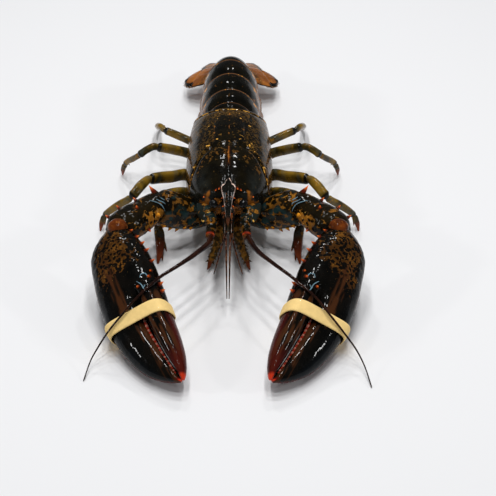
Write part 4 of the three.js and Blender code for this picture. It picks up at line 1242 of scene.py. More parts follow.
def blade_fringe(blade, side, count=110):
    """Rows of hairs round the blade's free edge."""
    s = np.concatenate([np.linspace(0.45, 1, count), np.linspace(1, 0.45, count)]) * blade.length
    degrees = np.concatenate([np.full(count, 90.0), np.full(count, 270.0)])
    along, _, _, centre = blade.frame(s)
    edge = blade.at(s, degrees)
    lean = smoothstep(s / blade.length, 0.5, 1)[:, None]
    aim = unit(unit(edge - centre + 1e-6) * (1.15 - lean) + along * (0.35 + lean))
    mirror = np.array((side, 1, 1))
    return [(root, way, HAIR_LENGTH, HAIR_RADIUS) for root, way in zip(edge * mirror, aim * mirror)]


hair_rows = []
for name, blade, sides in (
    ("telson", TELSON, {"": 1}),
    ("uropod_inner", INNER_BLADE, SIDES),
    ("uropod_outer", OUTER_BLADE, SIDES),
):
    for label, side in sides.items():
        build_blade(name + ("_" + label if label else ""), blade, side, outer=blade is OUTER_BLADE)
        hair_rows += blade_fringe(blade, side)
grow_thorns("fan_fringe", hair_rows, "hair", "fan", **HAIR_SHAPE)
print("tail fan: 5 blades,", len(hair_rows), "hairs")

# %% [markdown]
# ## Eyes and feelers
#
# The eyes are black beads on short stalks. The long antennae and the forked antennules are whips of
# hundreds of rings, so a tree sweeps a ringed tube along each path. Their stout bases are ordinary limbs.

# %% A tree that sweeps a ringed whip along a path
def make_whip_tree():
    tree, given = new_group(
        "whip",
        "GeometryNodeTree",
        {"Geometry": SHAPES, "Ring": 0.0005, "Ripple": 0.1, "Sides": 12, "Material": LOOK},
        {"Geometry": SHAPES},
    )
    path = put(tree, "GeometryNodeMeshToCurve", {"Mesh": given["Geometry"]}).outputs[0]
    sockets = {"Curve": path, "Length": given["Ring"]}
    even = put(tree, "GeometryNodeResampleCurve", sockets, mode="LENGTH").outputs[0]
    odd = calculate(tree, "MODULO", put(tree, "GeometryNodeInputIndex").outputs[0], 2.0)
    ringed = calculate(tree, "SUBTRACT", 1.0, calculate(tree, "MULTIPLY", odd, given["Ripple"]))
    sockets = {"Resolution": given["Sides"], "Radius": 1.0}
    circle = put(tree, "GeometryNodeCurvePrimitiveCircle", sockets).outputs[0]
    scale = calculate(tree, "MULTIPLY", read_layer(tree, "thick", "FLOAT"), ringed)
    sockets = {"Curve": even, "Profile Curve": circle, "Scale": scale, "Fill Caps": True}
    give_mesh(tree, put(tree, "GeometryNodeCurveToMesh", sockets).outputs[0], given["Material"])
    return tree


WHIP = make_whip_tree()
print("whip tree:", len(WHIP.nodes), "nodes")


def sweep_line(name, rows, side, steps, paint, slim_ends=False, **values):
    """A tube along rows [out, y, z, radius] in mm, with constant painted attributes."""
    line = Limb([[*row, row[3]] for row in rows])
    s = np.linspace(0, line.length, steps)
    places = line.run(s)
    taper = 0.45 + 0.55 * np.sin(np.pi * s / line.length) if slim_ends else 1.0
    layers = {key: np.full(steps, value) for key, value in paint.items()}
    layers["thick"] = places[:, 3] * taper * MM
    edges = [(i, i + 1) for i in range(steps - 1)]
    return bake_nodes(name, places[:, :3] * (side, 1, 1), edges, layers, WHIP, values)


def sweep_whip(name, rows, side, ring, warm, *nodes):
    look = MATERIALS["feeler"]
    piece = sweep_line(name, rows, side, 160, {"warm": warm}, Ring=ring * MM, Material=look)
    return settle(piece, "feeler", *nodes)


# %% The paths of the feelers and the limbs of the head
ANTENNA_PATH = {
    "right": [
        [12.2, -112.5, 36, 2.1],
        [11.9, -118.5, 36.3, 2],
        [19.9, -134, 38, 1.7],
        [30.9, -148.7, 39.6, 1.3],
        [42.6, -162.4, 40.6, 1.1],
        [48.7, -171, 40.4, 1],
        [55.9, -176.7, 36.1, 0.85],
        [64.4, -183.3, 28.8, 0.75],
        [73.1, -188.4, 19.4, 0.65],
        [79.2, -193.9, 11.8, 0.55],
        [83.8, -200.3, 6, 0.45],
        [87.4, -212, 0.7, 0.4],
    ],
    "left": [
        [12.2, -112.5, 36, 2.1],
        [13.4, -117.5, 36.3, 2],
        [18.2, -130.4, 37.6, 1.75],
        [27.8, -145.4, 39.4, 1.35],
        [40.5, -162.2, 40.6, 1.1],
        [46.4, -171, 41, 1],
        [53.2, -175.9, 37.6, 0.85],
        [63.4, -184.7, 28.8, 0.75],
        [72.1, -190.1, 19, 0.65],
        [79, -196, 11.4, 0.55],
        [83.9, -204.7, 5.6, 0.45],
        [87.6, -218, 0.7, 0.4],
    ],
}
ANTENNULE_WHIPS = [
    [[2.1, -118, 44.2, 0.85], [2.9, -125, 42, 0.7], [5.6, -131, 33.5, 0.55], [9.2, -136.2, 22.5, 0.35]],
    [[1.6, -119, 43.8, 0.85], [1.35, -127, 41, 0.75], [1, -138, 28.5, 0.6], [0.7, -150.5, 14, 0.3]],
]
ANTENNULE_BASE = Limb([
    [2.9, -91, 49, 2.2, 2.4],
    [2.6, -102, 48, 1.9, 2],
    [2.2, -112, 45.6, 1.6, 1.7],
    [1.9, -121, 43, 1.3, 1.3],
])
ANTENNA_BASE = Limb([
    [13.2, -84, 37, 4.8, 5.4],
    [13.4, -90, 39.8, 5, 5.2],
    [12.6, -96, 40.6, 4.4, 4.5],
    [11.4, -101, 39.4, 3.7, 3.9],
    [10.9, -105.5, 37.6, 3.3, 3.5],
    [11.5, -110.5, 36.3, 3, 3.1],
    [12, -114.5, 35.8, 2.8, 2.9],
])
ANTENNA_SCALE = Limb([
    [18.2, -82, 41, 2.6, 1.4],
    [18.6, -88, 42.2, 3.4, 1.2],
    [18, -95, 42, 3.2, 1],
    [16.8, -101, 41, 2, 0.8],
    [16.2, -104, 40.4, 0.6, 0.5],
], across=(0.85, 0, -0.53))
EYESTALK = Limb([
    [3.5, -88, 49.5, 2.2, 2.2],
    [6, -93.5, 50.2, 2.5, 2.4],
    [8.6, -97.2, 50.2, 2.6, 2.5],
], across=None)
MAXILLIPED = Limb([
    [5.6, -76, 21, 3.2, 4],
    [5.8, -84, 23, 3.6, 4.2],
    [6, -90, 21.5, 3.4, 3.8],
    [7.8, -95, 15.5, 3.1, 3.3],
    [8.6, -96.5, 13.4, 2.6, 2.8],
    [10.6, -100.5, 9.6, 2.5, 2.6],
    [12.4, -104, 6, 1.5, 1.6],
    [14, -107, 3, 0.5, 0.5],
])
HEAD_LIMBS = {"antennule base": ANTENNULE_BASE, "antenna base": ANTENNA_BASE, "mouth limb": MAXILLIPED}
print("lengths in mm:", {name: round(limb.length, 1) for name, limb in HEAD_LIMBS.items()})

# %% Joints and spikes of a limb
def degrees_between(degrees, middle):
    return np.abs((degrees - middle + 180) % 360 - 180)


def joints_at(stops, depth=0.14, width=0.7, flare=0.08):
    """A section that swells before each stop along a limb and is cut in at it, like a joint."""

    def section(s, degrees):
        scale = np.ones_like(s)
        for stop in stops:
            scale = scale - depth * hump(s - stop, width) + flare * hump(s - stop + 2 * width, width)
        return scale

    return section


def ragged_rows(limb, side, start, end, count):
    """Short spikes along both edges of a limb, which lean towards its tip."""
    rows = []
    for i, s in enumerate(np.linspace(start, end, count)):
        for degrees in (72 + 25 * (i % 3), 262 + 20 * (i % 2)):
            root = limb.at(s, degrees)
            along, _, _, centre = limb.frame(s)
            aim = unit(root - centre) + 1.1 * along
            length = 2.2 - 0.9 * i / count + 1.1 * (i % 2)
            rows.append(((centre + 0.75 * (root - centre)) * (side, 1, 1), aim * (side, 1, 1), length, 0.95))
    return rows


def eye_bead():
    """A ball of points round the eye, a little drawn out to the side."""
    turn, tilt = np.meshgrid(np.linspace(0, 2 * math.pi, 40, endpoint=False), np.linspace(0.05, 3.09, 28))
    ball = np.stack([np.cos(tilt), np.sin(tilt) * np.cos(turn), np.sin(tilt) * np.sin(turn)], axis=-1)
    return ball * EYE_RADII + EYE_PLACE


# %% Build the feelers, the eyes and the mouth limbs
def build_antennule(side, label):
    for number, rows in enumerate(ANTENNULE_WHIPS, start=1):
        sweep_whip("antennule_whip_%d_%s" % (number, label), rows, side, 0.6, 0.9)
    points, s, degrees = ANTENNULE_BASE.grid(60, 28, domes=(0.5, 1), shape=joints_at([11, 21]))
    stripe = hump(degrees_between(degrees, 0), 26) * smoothstep(s, 14, 24)
    shell = Shell().add(points, side, warm=0.5, amber=0.25 + 0.35 * stripe, blue=0.3 * hump(s - 11, 2))
    shell.finish("antennule_stem_" + label, "rostrum", "feeler", "antennule_" + label)


def build_antenna_base(side, label):
    shape = joints_at([9, 14, 18, 22, 26.5], 0.14, 0.6, 0.1)
    points, s, _ = ANTENNA_BASE.grid(120, 48, domes=(1, 1), shape=shape)
    lumps = roughness_of(points, 3)
    skin_rings = 0.8 * np.maximum(hump(s - 11.5, 1.8), hump(s - 17, 1.4)) * (0.7 + 0.3 * lumps)
    gold_rings = np.maximum(hump(s - 14.8, 0.35), hump(s - 18.8, 0.35))
    end = ANTENNA_BASE.length - 1.2
    shell = Shell().add(
        points,
        side,
        warm=0.7 + 0.3 * lumps,
        amber=0.9 * (1 - smoothstep(s, 8, 10.5)) + 0.4 * hump(s - 22, 2.5),
        blue=(skin_rings + 0.08) * (1 - smoothstep(s, 24, 27)),
        gold=0.9 * gold_rings * (0.8 + 0.4 * lumps),
        red=0.75 * hump(s - end, 1.1) * (0.8 + 0.5 * lumps),
    )
    shell.finish("antenna_stem_" + label, "arm", "leg", "antenna_base_" + label)

    points, s, _ = ANTENNA_SCALE.grid(40, 28, domes=(0.5, 0.5))
    warm = 0.35 * (1 - smoothstep(s, 15, 22))
    shell = Shell().add(points, side, warm=warm, blue=0.2, gold=1.1 * smoothstep(s, 20, 23))
    shell.finish("antenna_plate_" + label, "arm", "leg", "antenna_scale_" + label)


def build_eye(side, label):
    shell = Shell().add(EYESTALK.grid(20, 28, domes=(0.5, 0.5))[0], side, warm=0.65, amber=0.6)
    shell.finish("eye_stem_" + label, "shell", "shell", "eyestalk_" + label)
    Shell().add(eye_bead(), side).finish("eye_bead_" + label, "eye", "eye", "eye_" + label)


def build_maxilliped(side, label):
    shape = joints_at([14.5, 22.5, 29], 0.12, 0.9)
    points, s, _ = MAXILLIPED.grid(80, 32, domes=(0.5, 0.3), shape=shape)
    points = points + unit(points - MAXILLIPED.frame(s)[3]) * (0.35 * roughness_of(points, 2.2))[..., None]
    warm = 0.8 + 0.25 * roughness_of(points, 2.5)
    shell = Shell().add(points, side, warm=warm, red=0.6 * smoothstep(s, 32, 38))
    shell.finish("maxilliped_limb_" + label, "ragged", "leg", "maxilliped_" + label)
    rows = ragged_rows(MAXILLIPED, side, 16, 35, 8)
    grow_thorns("maxilliped_bristles_" + label, rows, "ragged", "leg", Hot=0.0)


for label, side in SIDES.items():
    sweep_whip("antenna_whip_" + label, ANTENNA_PATH[label], side, 0.55, 0.12, "antenna_" + label)
    build_antennule(side, label)
    build_antenna_base(side, label)
    build_eye(side, label)
    build_maxilliped(side, label)
print("head limbs on both sides")

# %% [markdown]
# ## The claw arms
#
# An arm has four big plates: the arm itself, the knobbly forearm, the palm and the movable finger. Arm and
# forearm are limbs with spines. Pale blue skin shows at the joints, as thin folds, and the brightness of that
# pale blue is partly a painted highlight.

# %% Measures of arm and forearm
ARM = Limb([
    [11, -62, 15.5, 5.5, 6],
    [18, -70, 20.5, 7.5, 8.5],
    [26, -78, 27.5, 9.4, 10.8],
    [36, -83, 33.5, 10.4, 12],
    [43.5, -84.5, 37, 10.6, 12.4],
    [47, -85.5, 38.4, 8.5, 10.2],
], across=(0.45, 0.9, 0))
FOREARM = Limb([
    [43, -83, 38.5, 6.8, 8],
    [48.5, -87.5, 39.2, 9.2, 9.8],
    [56.5, -96.5, 39.4, 10.4, 10],
    [63, -104, 39.8, 11.4, 10.8],
    [68.5, -110, 39.6, 10.6, 10.6],
    [71.5, -115.5, 38.4, 8, 8.2],
], across=(0.75, 0.66, 0))
ARM_SPINES = [
    # distance along, degrees round, length, radius, lean forward
    (26, 236, 2.4, 1.4, 0.35),
    (31, 238, 2.2, 1.3, 0.35),
    (33.5, 212, 2.6, 1.4, 0.35),
    (38, 214, 2.8, 1.5, 0.35),
    (43, 226, 2.2, 1.4, 0.35),
]
FOREARM_SPINES = [
    # distance along, degrees round, length, radius, lean forward
    (4.5, 27, 6.2, 2.4, 0.6),
    (17, 42, 2.8, 1.6, 0.35),
    (26, 350, 2.4, 1.6, 0.35),
    (31, 47, 3, 1.7, 0.35),
    (38, 58, 2.8, 1.6, 0.35),
    (24, 254, 3, 1.7, 0.35),
    (36.5, 262, 2, 1.4, 0.35),
]
WRIST_KNOB = np.array((70.5, -117, 45.6))
KNOB_RADII = 5.8 * np.array((1.12, 1.0, 0.95))
ELBOW_FOLDS = [
    # (distance along, degrees round) on the forearm
    [(13.5, 350), (11, 330), (8.5, 312), (7, 292), (6, 278)],
    [(9, 340), (7.5, 325), (5, 310), (3.5, 292), (3, 276)],
    [(6, 342), (4.5, 326), (2.5, 312), (1, 298)],
    [(0, 270), (3, 262), (6, 250)],
]
FOREARM_BEADS = [
    # distance along, degrees round, radius
    (2.5, 236, 2.1),
    (14, 282, 1.5),
    (41.5, 258, 1.4),
]
print("arm and forearm in mm:", round(ARM.length, 1), round(FOREARM.length, 1))

# %% Build arm and forearm
def spines_on(limb, rows, side):
    """Rows (distance, degrees, length, radius, lean) as spine rows that lean forward along the limb."""
    found = []
    for s, degrees, length, radius, lean in rows:
        root = limb.at(s, degrees)
        along, _, _, centre = limb.frame(s)
        aim = unit(root - centre) + along * lean
        found.append((root * (side, 1, 1), aim * (side, 1, 1), length, radius))
    return found


def bead(centre, radii, turns=48, tilts=32):
    around = np.linspace(0, 2 * math.pi, turns, endpoint=False)
    turn, tilt = np.meshgrid(around, np.linspace(0.04, math.pi - 0.04, tilts))
    ball = np.stack([np.sin(tilt) * np.cos(turn), np.sin(tilt) * np.sin(turn), np.cos(tilt)], axis=-1)
    return ball * radii + centre


def fold_line(name, points, radius, side):
    """A thin fold of joint skin along points, its pale blue partly the skin's colour and partly a painted
    highlight.
    """
    rows = [[*p, radius] for p in points]
    sockets = {"Ring": 0.4 * MM, "Ripple": 0.0, "Sides": 8, "Material": MATERIALS["flesh"]}
    piece = sweep_line(name, rows, side, 40, {"blue": 1.0}, slim_ends=True, **sockets)
    return settle(piece, "leg")


def build_arm(side, label):
    points, s, _ = ARM.grid(96, 96, domes=(2, 1.2), shape=joints_at([7], 0.1, 1.0, 0.05))
    lumps = roughness_of(points, 6)
    points = points + 0.25 * roughness_of(points, 3)[..., None] * (0, 0, 1)
    teal = smoothstep(lumps + 0.35 * hump(s - 22, 14), 0.0, 0.45)
    warm = 0.8 - 0.4 * teal + 0.3 * lumps
    shell = Shell().add(points, side, warm=warm, blue=0.6 * teal, gold=0.1 * (1 - teal))
    shell.finish("arm_skin_" + label, "arm", "leg", "arm_" + label)


def build_forearm(side, label):
    points, s, degrees = FOREARM.grid(110, 110, domes=(2, 2.5))
    lumps = roughness_of(points, 4.5)
    away = points - FOREARM.frame(s)[3]
    points = points + unit(away) * (0.35 * lumps + 0.16 * roughness_of(points, 1.6))[..., None]
    patch = smoothstep(1.5 - np.hypot((s - 20) / 9, degrees_between(degrees, 280) / 38), 0.0, 0.9)
    low = hump(degrees_between(degrees, 250), 45) * hump(s - 22, 20)
    warm = 0.4 + 0.35 * lumps + 0.5 * patch + 0.25 * low
    shell = Shell().add(points, side, warm=warm, amber=0.42 * patch, gold=0.3 * patch)
    shell.finish("forearm_skin_" + label, "arm", "shell", "forearm_" + label)


def build_knob_and_beads(side, label):
    ball = bead(WRIST_KNOB, KNOB_RADII)
    rough = 0.12 * roughness_of(ball, 2.5) + 0.08 * roughness_of(ball, 1.1)
    knob = Shell().add(ball + unit(ball - WRIST_KNOB) * rough[..., None], side, warm=0.4, gold=0.1)
    knob.finish("wrist_knob_" + label, "knob", "shell")
    beads = Shell()
    for s, degrees, size in FOREARM_BEADS:
        beads.add(bead(FOREARM.at(s, degrees), size, turns=24, tilts=16), side, warm=0.4)
    beads.finish("elbow_beads_" + label, "bead", "shell")


for label, side in SIDES.items():
    build_arm(side, label)
    build_forearm(side, label)
    build_knob_and_beads(side, label)
    for number, fold in enumerate(ELBOW_FOLDS, start=1):
        path = [FOREARM.at(s, degrees, 1.05) for s, degrees in fold]
        fold_line("elbow_fold_%d_%s" % (number, label), path, 0.36, side)
    grow_thorns("arm_spines_" + label, spines_on(ARM, ARM_SPINES, side), "bead", "shell", Hot=0.5)
    rows = spines_on(FOREARM, FOREARM_SPINES, side)
    grow_thorns("forearm_spines_" + label, rows, "thorn", "shell", Hot=0.95)
print("arms and forearms on both sides")

# %% [markdown]
# ## The claws
#
# A claw is flat on its plane like a mitten. Every point has a distance s from the wrist, a place w across
# and a height n over the plane, so its outline and thickness are curves of s. A line from the hinge to the
# tip parts the movable finger from the palm. Both halves are swept to that line, and their edges are
# rounded towards it.

# %% The claw's plane and outline
WRIST_PLACE = np.array((71, -113.4, 40.2))
CLAW_TIP = np.array((26.4, -223.9, 13))
CLAW_LENGTH = 123
CLAW_ROLL = math.radians(30)
CLAW = smooth([
    # distance from the wrist, outer edge, inner edge, gap between the fingers, half thickness
    [-2, -5, 4.5, 0, 5],
    [2, -13, 6.5, 0, 8],
    [7, -19.5, 8.4, 0, 10.6],
    [15, -25, 10.4, 0, 12.6],
    [28, -28, 12.4, -0.5, 13.6],
    [40, -30.2, 12.8, -1, 13.6],
    [52, -31.4, 12, -2, 12.8],
    [66, -31.4, 10.6, -4.4, 11.6],
    [80, -29.4, 9.8, -4.9, 10.2],
    [95, -25.6, 9, -3.7, 8.4],
    [106, -20.5, 7.6, -2.5, 6.8],
    [115, -13.4, 5, -1.3, 5],
    [120, -7.6, 2.6, -0.8, 3.4],
    [CLAW_LENGTH, -3.2, 0.8, -0.5, 1.6],
])
FINGER_LINE = np.array([
    # distance from the wrist, place across of the line that parts the fingers
    [52, 26],
    [53, 14],
    [54.5, 9],
    [57, 4.5],
    [60.5, 1],
    [64, -2],
    [69, -4.4],
    [80, -4.9],
    [95, -3.7],
    [106, -2.5],
    [115, -1.3],
    [130, -0.2],
])
FINGER_ROOT = FINGER_LINE[0, 0]
PINCH = 0.4  # share of the palm's height that is left where the fingers meet
UNDERSIDE = 0.9  # depth of the lower face as a share of the upper one


def claw_axes():
    u = unit(CLAW_TIP - WRIST_PLACE)
    level = unit(np.array((-1, 0, 0)) + u * u[0])
    upright = np.cross(level, u)
    w = level * math.cos(CLAW_ROLL) + upright * math.sin(CLAW_ROLL)
    n = upright * math.cos(CLAW_ROLL) - level * math.sin(CLAW_ROLL)
    return u, w, n


CLAW_U, CLAW_W, CLAW_N = claw_axes()
print("the claw points along", tuple(round(float(v), 2) for v in CLAW_U))


def claw_place(s, w, n):
    s, w, n = (np.asarray(value, float)[..., None] for value in (s, w, n))
    return WRIST_PLACE + CLAW_U * s + CLAW_W * w + CLAW_N * n


def claw_half(share):
    return (1 - np.abs(np.clip(share, -1, 1)) ** 2.5) ** (1 / 2.1)


def claw_height(s, w):
    """Height of the whole claw's upper face, before it is parted into two fingers."""
    outer, inner, gap, thick = np.moveaxis(CLAW(s), -1, 0)
    palm = claw_half((2 * w - outer - inner) / (inner - outer))
    low = np.where(w <= gap, outer, gap - 0.1)
    high = np.where(w <= gap, gap + 0.1, inner)
    finger = claw_half((2 * w - low - high) / (high - low))
    pinched = np.maximum(finger, PINCH * palm)
    return thick * (palm + (pinched - palm) * smoothstep(s, 48, 64))


def parting(s):
    return np.interp(s, FINGER_LINE[:, 0], FINGER_LINE[:, 1])


def line_distance(s, w):
    """Distance in the claw's plane to the line that parts the fingers."""
    here = np.stack([s, w], axis=-1)
    nearest = np.full(np.shape(s), np.inf)
    for a, b in zip(FINGER_LINE[:-1], FINGER_LINE[1:]):
        share = np.clip(((here - a) @ (b - a)) / ((b - a) @ (b - a)), 0, 1)
        nearest = np.minimum(nearest, np.linalg.norm(here - a - share[..., None] * (b - a), axis=-1))
    return nearest


def claw_grid(stations, edges, lanes):
    """Rings over the upper and lower face between two edges given at each station."""
    turn = (1 - np.cos(np.linspace(0, math.pi, lanes))) / 2
    s = np.repeat(stations[:, None], lanes, axis=1)
    w = edges[0][:, None] + (edges[1] - edges[0])[:, None] * turn
    lip = 0.35 + 1.9 * smoothstep(s, 54, 68)
    round_off = np.sqrt(np.clip(1 - (1 - np.minimum(line_distance(s, w) / lip, 1)) ** 2, 0, 1))
    n = claw_height(s, w) * round_off
    below = (s, w, -UNDERSIDE * n)
    return [np.concatenate([top, low[:, -2:0:-1]], axis=1) for top, low in zip((s, w, n), below)]


# %% Paint and build the palm and the finger
def claw_paint(s, w, n, points):
    """Where the claw is mottled, blue-black, red or pale, from the place on it."""
    outer, inner, gap, _ = np.moveaxis(CLAW(s), -1, 0)
    share = (w - outer) / (inner - outer)
    finger = (w > parting(s)) & (s > FINGER_ROOT)
    under = smoothstep(-n, 0.5, 4)
    over = 1 - under
    lumps = roughness_of(points, 6)
    place = np.stack([s * 0.13, w, n * 0.2], axis=-1)
    long_marks = 0.7 * roughness_of(place, 1.9) + 0.5 * roughness_of(place + 7, 0.9)
    streaked = smoothstep(long_marks, -0.4, 0.4)
    wrist = 1 - smoothstep(s + 14 * share, 40, 58)
    net = 0.9 * wrist * smoothstep(share, 0.1, 0.3) * (1 - 0.6 * smoothstep(share, 0.78, 0.95))
    middle = 0.36 + 0.07 * smoothstep(s, 10, 60)
    down_middle = hump(share - middle, 0.13) * smoothstep(s, 18, 40) * (1 - smoothstep(s, 70, 88))
    beside_gap = hump(w - gap + 4, 5) * smoothstep(s, 64, 80) * ~finger
    thumb = finger * smoothstep(s, 54, 66)
    warm = np.maximum(net, 0.3 * thumb) + 0.12 * lumps
    margin = hump(share - 0.05, 0.06) * smoothstep(s, 4, 20) * (1 - smoothstep(s, 44, 66))
    fields = np.maximum.reduce([down_middle, 0.9 * beside_gap, 0.85 * thumb])
    brown = np.maximum(fields * (0.42 + 0.58 * streaked), 0.7 * margin)
    tip = smoothstep(s + 1.5 * finger - 4 * smoothstep(0.45 - share, 0, 0.4), 119, 123.4)
    rusty = 0.34 * finger * smoothstep(s, 92, 114)
    outline = hump(share, 0.028) * smoothstep(s, 20, 80)
    outline = np.maximum(outline, hump(share - 1, 0.04) * smoothstep(s, 70, 84))
    reddish = np.maximum(0.34 * outline, rusty) * (1 - tip)
    return dict(
        warm=warm * over + 0.8 * under,
        amber=1.1 * brown * over,
        red=0.95 * tip + reddish + 0.3 * under * smoothstep(s, 40, 90),
        blue=0.5 * smoothstep(0.3 - share, 0, 0.3) * smoothstep(s, 30, 60) * over,
        gold=0.12 * wrist,
    )


def claw_part(stations, edges, lanes, name, node, side, label):
    s, w, n = claw_grid(stations, edges, lanes)
    points = claw_place(s, w, n)
    wrist = 1 - smoothstep(s, 24, 56)
    bumps = 0.3 * roughness_of(points, 6) + 0.24 * roughness_of(points, 2.4) + 0.1 * roughness_of(points, 1.2)
    dents = 0.14 * roughness_of(points * (1, 0.5, 1), 7) + 0.04 * roughness_of(points, 2.4)
    relief_height = (bumps * wrist + dents) * np.sign(n) * smoothstep(np.abs(n), 1, 4)
    points = points + CLAW_N * relief_height[..., None]
    shell = Shell().add(points, side, **claw_paint(s, w, n, points))
    shell.finish(name + label, "claw", "claw", node + label)


def build_claw(side, label):
    stations = np.concatenate([
        np.linspace(-2, 4, 18),
        np.linspace(4.6, 49.6, 84),
        np.linspace(50, 69, 76),
        np.linspace(69.5, 114, 76),
        np.linspace(114.5, CLAW_LENGTH, 30),
    ])
    outer, inner = CLAW(stations)[:, 0], CLAW(stations)[:, 1]
    line = np.where(stations < FINGER_ROOT, np.inf, parting(stations))
    half_gap = 0.05 + 0.4 * smoothstep(stations, 60, 75) * (1 - smoothstep(stations, 104, 116))
    palm_edges = (outer, np.minimum(inner, line - half_gap))
    claw_part(stations, palm_edges, 66, "claw_palm_", "claw_", side, label)
    later = line + half_gap < inner - 0.3
    thumb_edges = ((line + half_gap)[later], inner[later])
    claw_part(stations[later], thumb_edges, 44, "claw_thumb_", "claw_finger_", side, label)


# %% Grow the spines, the teeth and the folds of skin
EDGE_SPINES = [
    # along the inner edges of palm and finger: distance, length, radius
    (8, 2.6, 1.5),
    (15, 3, 1.6),
    (21.5, 3.6, 1.8),
    (28, 3.8, 1.8),
    (37.5, 3.8, 1.7),
    (56, 4, 2.2),
    (61.5, 3.6, 2),
]
HINGE_SPINES = [
    # distance along, across, length, radius
    (50.5, 9, 3, 1.8),
    (55, 1.2, 3, 1.6),
    (46, 11, 2.4, 1.4),
]
HINGE_FOLDS = [
    # (distance along, across) of the pale skin at the finger's hinge
    [(49.5, 4.5), (47.5, 6), (47.5, 7.8), (49.5, 8.5), (51.5, 8.2)],
    [(51, 1.8), (55, 3.8), (58.5, 4.2), (62, 5.2)],
    [(58.5, 4.2), (57.6, 5), (56.5, 6)],
]
BLUNT = {"Belly": 1.6, "Hot": 0.0, "Bend": 0.0}


def on_claw(s, w, lift):
    return claw_place(s, w, claw_height(s, w) + lift)


def claw_spine_rows(side):
    mirror = np.array((side, 1, 1))
    rows = []
    for s, length, radius in EDGE_SPINES:
        aim = CLAW_W + 0.25 * CLAW_N + 0.3 * CLAW_U
        rows.append((claw_place(s, CLAW(s)[1] - 0.6, 2) * mirror, aim * mirror, length, radius))
    for s, w, length, radius in HINGE_SPINES:
        rows.append((on_claw(s, w, -0.4) * mirror, (CLAW_N + 0.5 * CLAW_U) * mirror, length, radius))
    return rows


def tooth_rows(side, count, first, last):
    """Blunt teeth along the cutting edge, from large to small towards the tips."""
    mirror = np.array((side, 1, 1))
    rows = []
    for i, s in enumerate(np.linspace(first, last, count)):
        share = (s - 64) / 54
        gap, thick = CLAW(s)[2:]
        size = 1.5 - 0.6 * share + (0.2 if i % 3 == 0 else 0)
        root = claw_place(s, gap - 0.5 - 0.5 * size, 0.42 * thick + 0.5)
        rows.append((root * mirror, (CLAW_W * 0.6 + CLAW_N) * mirror, 1.3 * size, 0.85 * size))
    return rows


for label, side in SIDES.items():
    build_claw(side, label)
    grow_thorns("claw_spines_" + label, claw_spine_rows(side), "thorn", "claw", Hot=0.95, Bend=0.3)
    grow_thorns("claw_teeth_red_" + label, tooth_rows(side, 15, 66, 117), "tooth", "claw", **BLUNT)
    grow_thorns("claw_teeth_pale_" + label, tooth_rows(side, 14, 67.8, 115.2), "pearl", "claw", **BLUNT)
    for number, fold in enumerate(HINGE_FOLDS, start=1):
        path = [on_claw(s, w, 0.05) for s, w in fold]
        fold_line("hinge_fold_%d_%s" % (number, label), path, 0.35, side)
print("claws on both sides")

# %% [markdown]
# ## The rubber bands
#
# A wide band holds both fingers shut. It is stretched, so it lies flat over the top and turns sharply round
# the outer edges. Its section is a thin wall between two slanting rims, with rounded lips.

# %% Stretch a band round each claw
BAND_OUTER = (64.5, 73.5)  # both rims at the claw's outer edge, as distances from the wrist
BAND_INNER = (69.3, 78.3)  # the same at the inner edge
BAND_CLEARANCE = 0.3
BAND_THICKNESS = 0.8
BAND_LIP = 0.35


def band_ring(width, grow, sides=180):
    """A ring round the claw at a share 0 to 1 of the band's width, `grow` mm outside the claw."""
    angle = 2 * math.pi * (np.arange(sides) + 0.5) / sides
    across = power(np.cos(angle), 2 / 6)
    over = power(np.sin(angle), 2 / 2.6)
    rims = [near + (far - near) * width for near, far in (BAND_OUTER, BAND_INNER)]
    s = rims[0] + (rims[1] - rims[0]) * (across + 1) / 2
    outer, inner, _, thick = np.moveaxis(CLAW(s), -1, 0)
    w = (outer + inner) / 2 + ((inner - outer) / 2 + grow) * across
    return claw_place(s, w, (thick + grow) * over * np.where(over < 0, 0.92, 1))


def build_band(side, label):
    inside, outside = BAND_CLEARANCE, BAND_CLEARANCE + BAND_THICKNESS
    widths = np.linspace(0, 1, 15)
    profile = [(x, outside - BAND_LIP * (abs(2 * x - 1) ** 8)) for x in widths]
    profile += [(x, inside) for x in widths[::-1]]
    rings = np.swapaxes(np.array([band_ring(x, grow) for x, grow in profile]), 0, 1)
    count, sides = rings.shape[:2]
    vertices = rings.reshape(-1, 3) * (side, 1, 1)
    faces = []
    for r in range(count):
        here, there = r * sides, (r + 1) % count * sides
        for i in range(sides):
            j = (i + 1) % sides
            faces.append((here + i, here + j, there + j, there + i))
    piece = add_object("rubber_band_" + label, vertices, outward(vertices, faces), "band")
    return settle(piece, "band", "claw_band_" + label)


for label, side in SIDES.items():
    build_band(side, label)
print("bands on both sides")

# %% [markdown]
# ## The walking legs
#
# Each leg is a chain of tubes that widen towards the next joint, with a dark cuff and a ring of grey-blue
# skin there. The first pair here ends in small pincers, and the others in a pointed toe with a short prong
# beside it.

